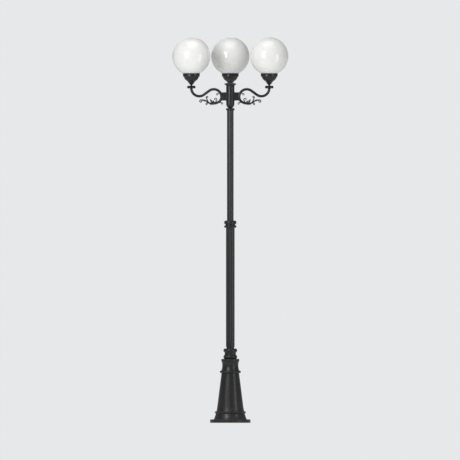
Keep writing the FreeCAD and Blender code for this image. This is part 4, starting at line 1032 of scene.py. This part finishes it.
class LAMPPOST_OT_stage(bpy.types.Operator):
    """Make the floor, the lights and the camera"""

    bl_idname = "lamp_post.stage"
    bl_label = "Stage"

    def execute(self, context):
        self.floor()
        self.world(context.scene)
        self.lights()
        self.camera(context.scene)
        context.scene.view_settings.view_transform = "Standard"
        return {"FINISHED"}

    def floor(self):
        """A pale floor so wide that its edge stays out of sight."""
        half_width = 60.0
        bm = bmesh.new()
        bmesh.ops.create_grid(bm, x_segments=1, y_segments=1, size=half_width)
        floor = placed("floor", meshed("floor", bm))
        finish = Finish("floor", 0.85, Emission_Color=BACKDROP, Emission_Strength=0.22)
        cloud = finish.noise(0.8, 3.0, 0.5)
        finish.set("Base Color", finish.blend(cloud, (0.80, 0.80, 0.79), (0.76, 0.76, 0.755)))
        floor.data.materials.append(finish.material)

    def world(self, scene):
        """A pale backdrop for the camera that lights the post only softly."""
        world = bpy.data.worlds.new("studio")
        world.use_nodes = True
        tree = world.node_tree
        background = tree.nodes["Background"]
        background.inputs["Color"].default_value = (*BACKDROP, 1.0)
        seen = tree.nodes.new("ShaderNodeLightPath").outputs["Is Camera Ray"]
        strength = tree.nodes.new("ShaderNodeMapRange")
        strength.inputs["To Min"].default_value = 0.30
        strength.inputs["To Max"].default_value = 0.86
        tree.links.new(seen, strength.inputs["Value"])
        tree.links.new(strength.outputs["Result"], background.inputs["Strength"])
        scene.world = world

    def lights(self):
        """Four wide lamps, all aimed at the middle of the post."""
        target = Vector((0.0, 0.0, 1.7))
        for name, place, width, height, power in (
                ("key_light", (-2.6, -4.2, 3.6), 1.6, 3.2, 135.0),
                ("fill_light", (3.8, -3.0, 2.0), 0.8, 3.6, 45.0),
                ("rim_light", (-1.2, 4.6, 4.4), 3.2, 2.4, 12.0),
                ("top_light", (0.0, -0.6, 5.6), 2.4, 2.4, 34.0)):
            lamp = bpy.data.lights.new(name, "AREA")
            lamp.shape = "RECTANGLE"
            lamp.size = width
            lamp.size_y = height
            lamp.energy = power
            light = placed(name, lamp)
            light.location = place
            aim = target - Vector(place)
            light.rotation_mode = "QUATERNION"
            light.rotation_quaternion = aim.to_track_quat("-Z", "Y")

    def camera(self, scene):
        """A level view from the front with parallel rays, as an elevation is drawn."""
        frame_pixels = 460.0
        metres_per_pixel = 0.007884
        axis_pixel = 230.3
        ground_pixel = 422.84
        data = bpy.data.cameras.new("camera")
        data.type = "ORTHO"
        data.ortho_scale = frame_pixels * metres_per_pixel
        data.clip_end = 60.0
        camera = bpy.data.objects.new("camera", data)
        scene.collection.objects.link(camera)
        camera.location = ((frame_pixels / 2 - axis_pixel) * metres_per_pixel, -8.0,
                           (ground_pixel - frame_pixels / 2) * metres_per_pixel)
        camera.rotation_mode = "QUATERNION"
        camera.rotation_quaternion = Vector((0.0, 1.0, 0.0)).to_track_quat("-Z", "Y")
        scene.camera = camera


OPERATORS = (LAMPPOST_OT_finishes, LAMPPOST_OT_globes, LAMPPOST_OT_sprays, LAMPPOST_OT_calyxes,
             LAMPPOST_OT_tips, LAMPPOST_OT_turned, LAMPPOST_OT_castings, LAMPPOST_OT_lamps,
             LAMPPOST_OT_screws, LAMPPOST_OT_stage)


class LAMPPOST_PT_panel(bpy.types.Panel):
    """Lists the steps that dress the lamp post"""

    bl_idname = "LAMPPOST_PT_panel"
    bl_label = "Lamp Post"
    bl_space_type = "VIEW_3D"
    bl_region_type = "UI"
    bl_category = "Lamp Post"

    def draw(self, context):
        for operator in OPERATORS:
            self.layout.operator(operator.bl_idname)


CLASSES = (LampPostSizes, LampPostColours) + OPERATORS + (LAMPPOST_PT_panel,)


def register():
    for cls in CLASSES:
        bpy.utils.register_class(cls)
    bpy.types.Scene.lamp_post_sizes = PointerProperty(type=LampPostSizes)
    bpy.types.Scene.lamp_post_colours = PointerProperty(type=LampPostColours)


def unregister():
    del bpy.types.Scene.lamp_post_colours
    del bpy.types.Scene.lamp_post_sizes
    for cls in reversed(CLASSES):
        bpy.utils.unregister_class(cls)


def main():
    register()
    for operator in OPERATORS:
        group, name = operator.bl_idname.split(".")
        getattr(getattr(bpy.ops, group), name)()


if __name__ == "__main__":
    main()
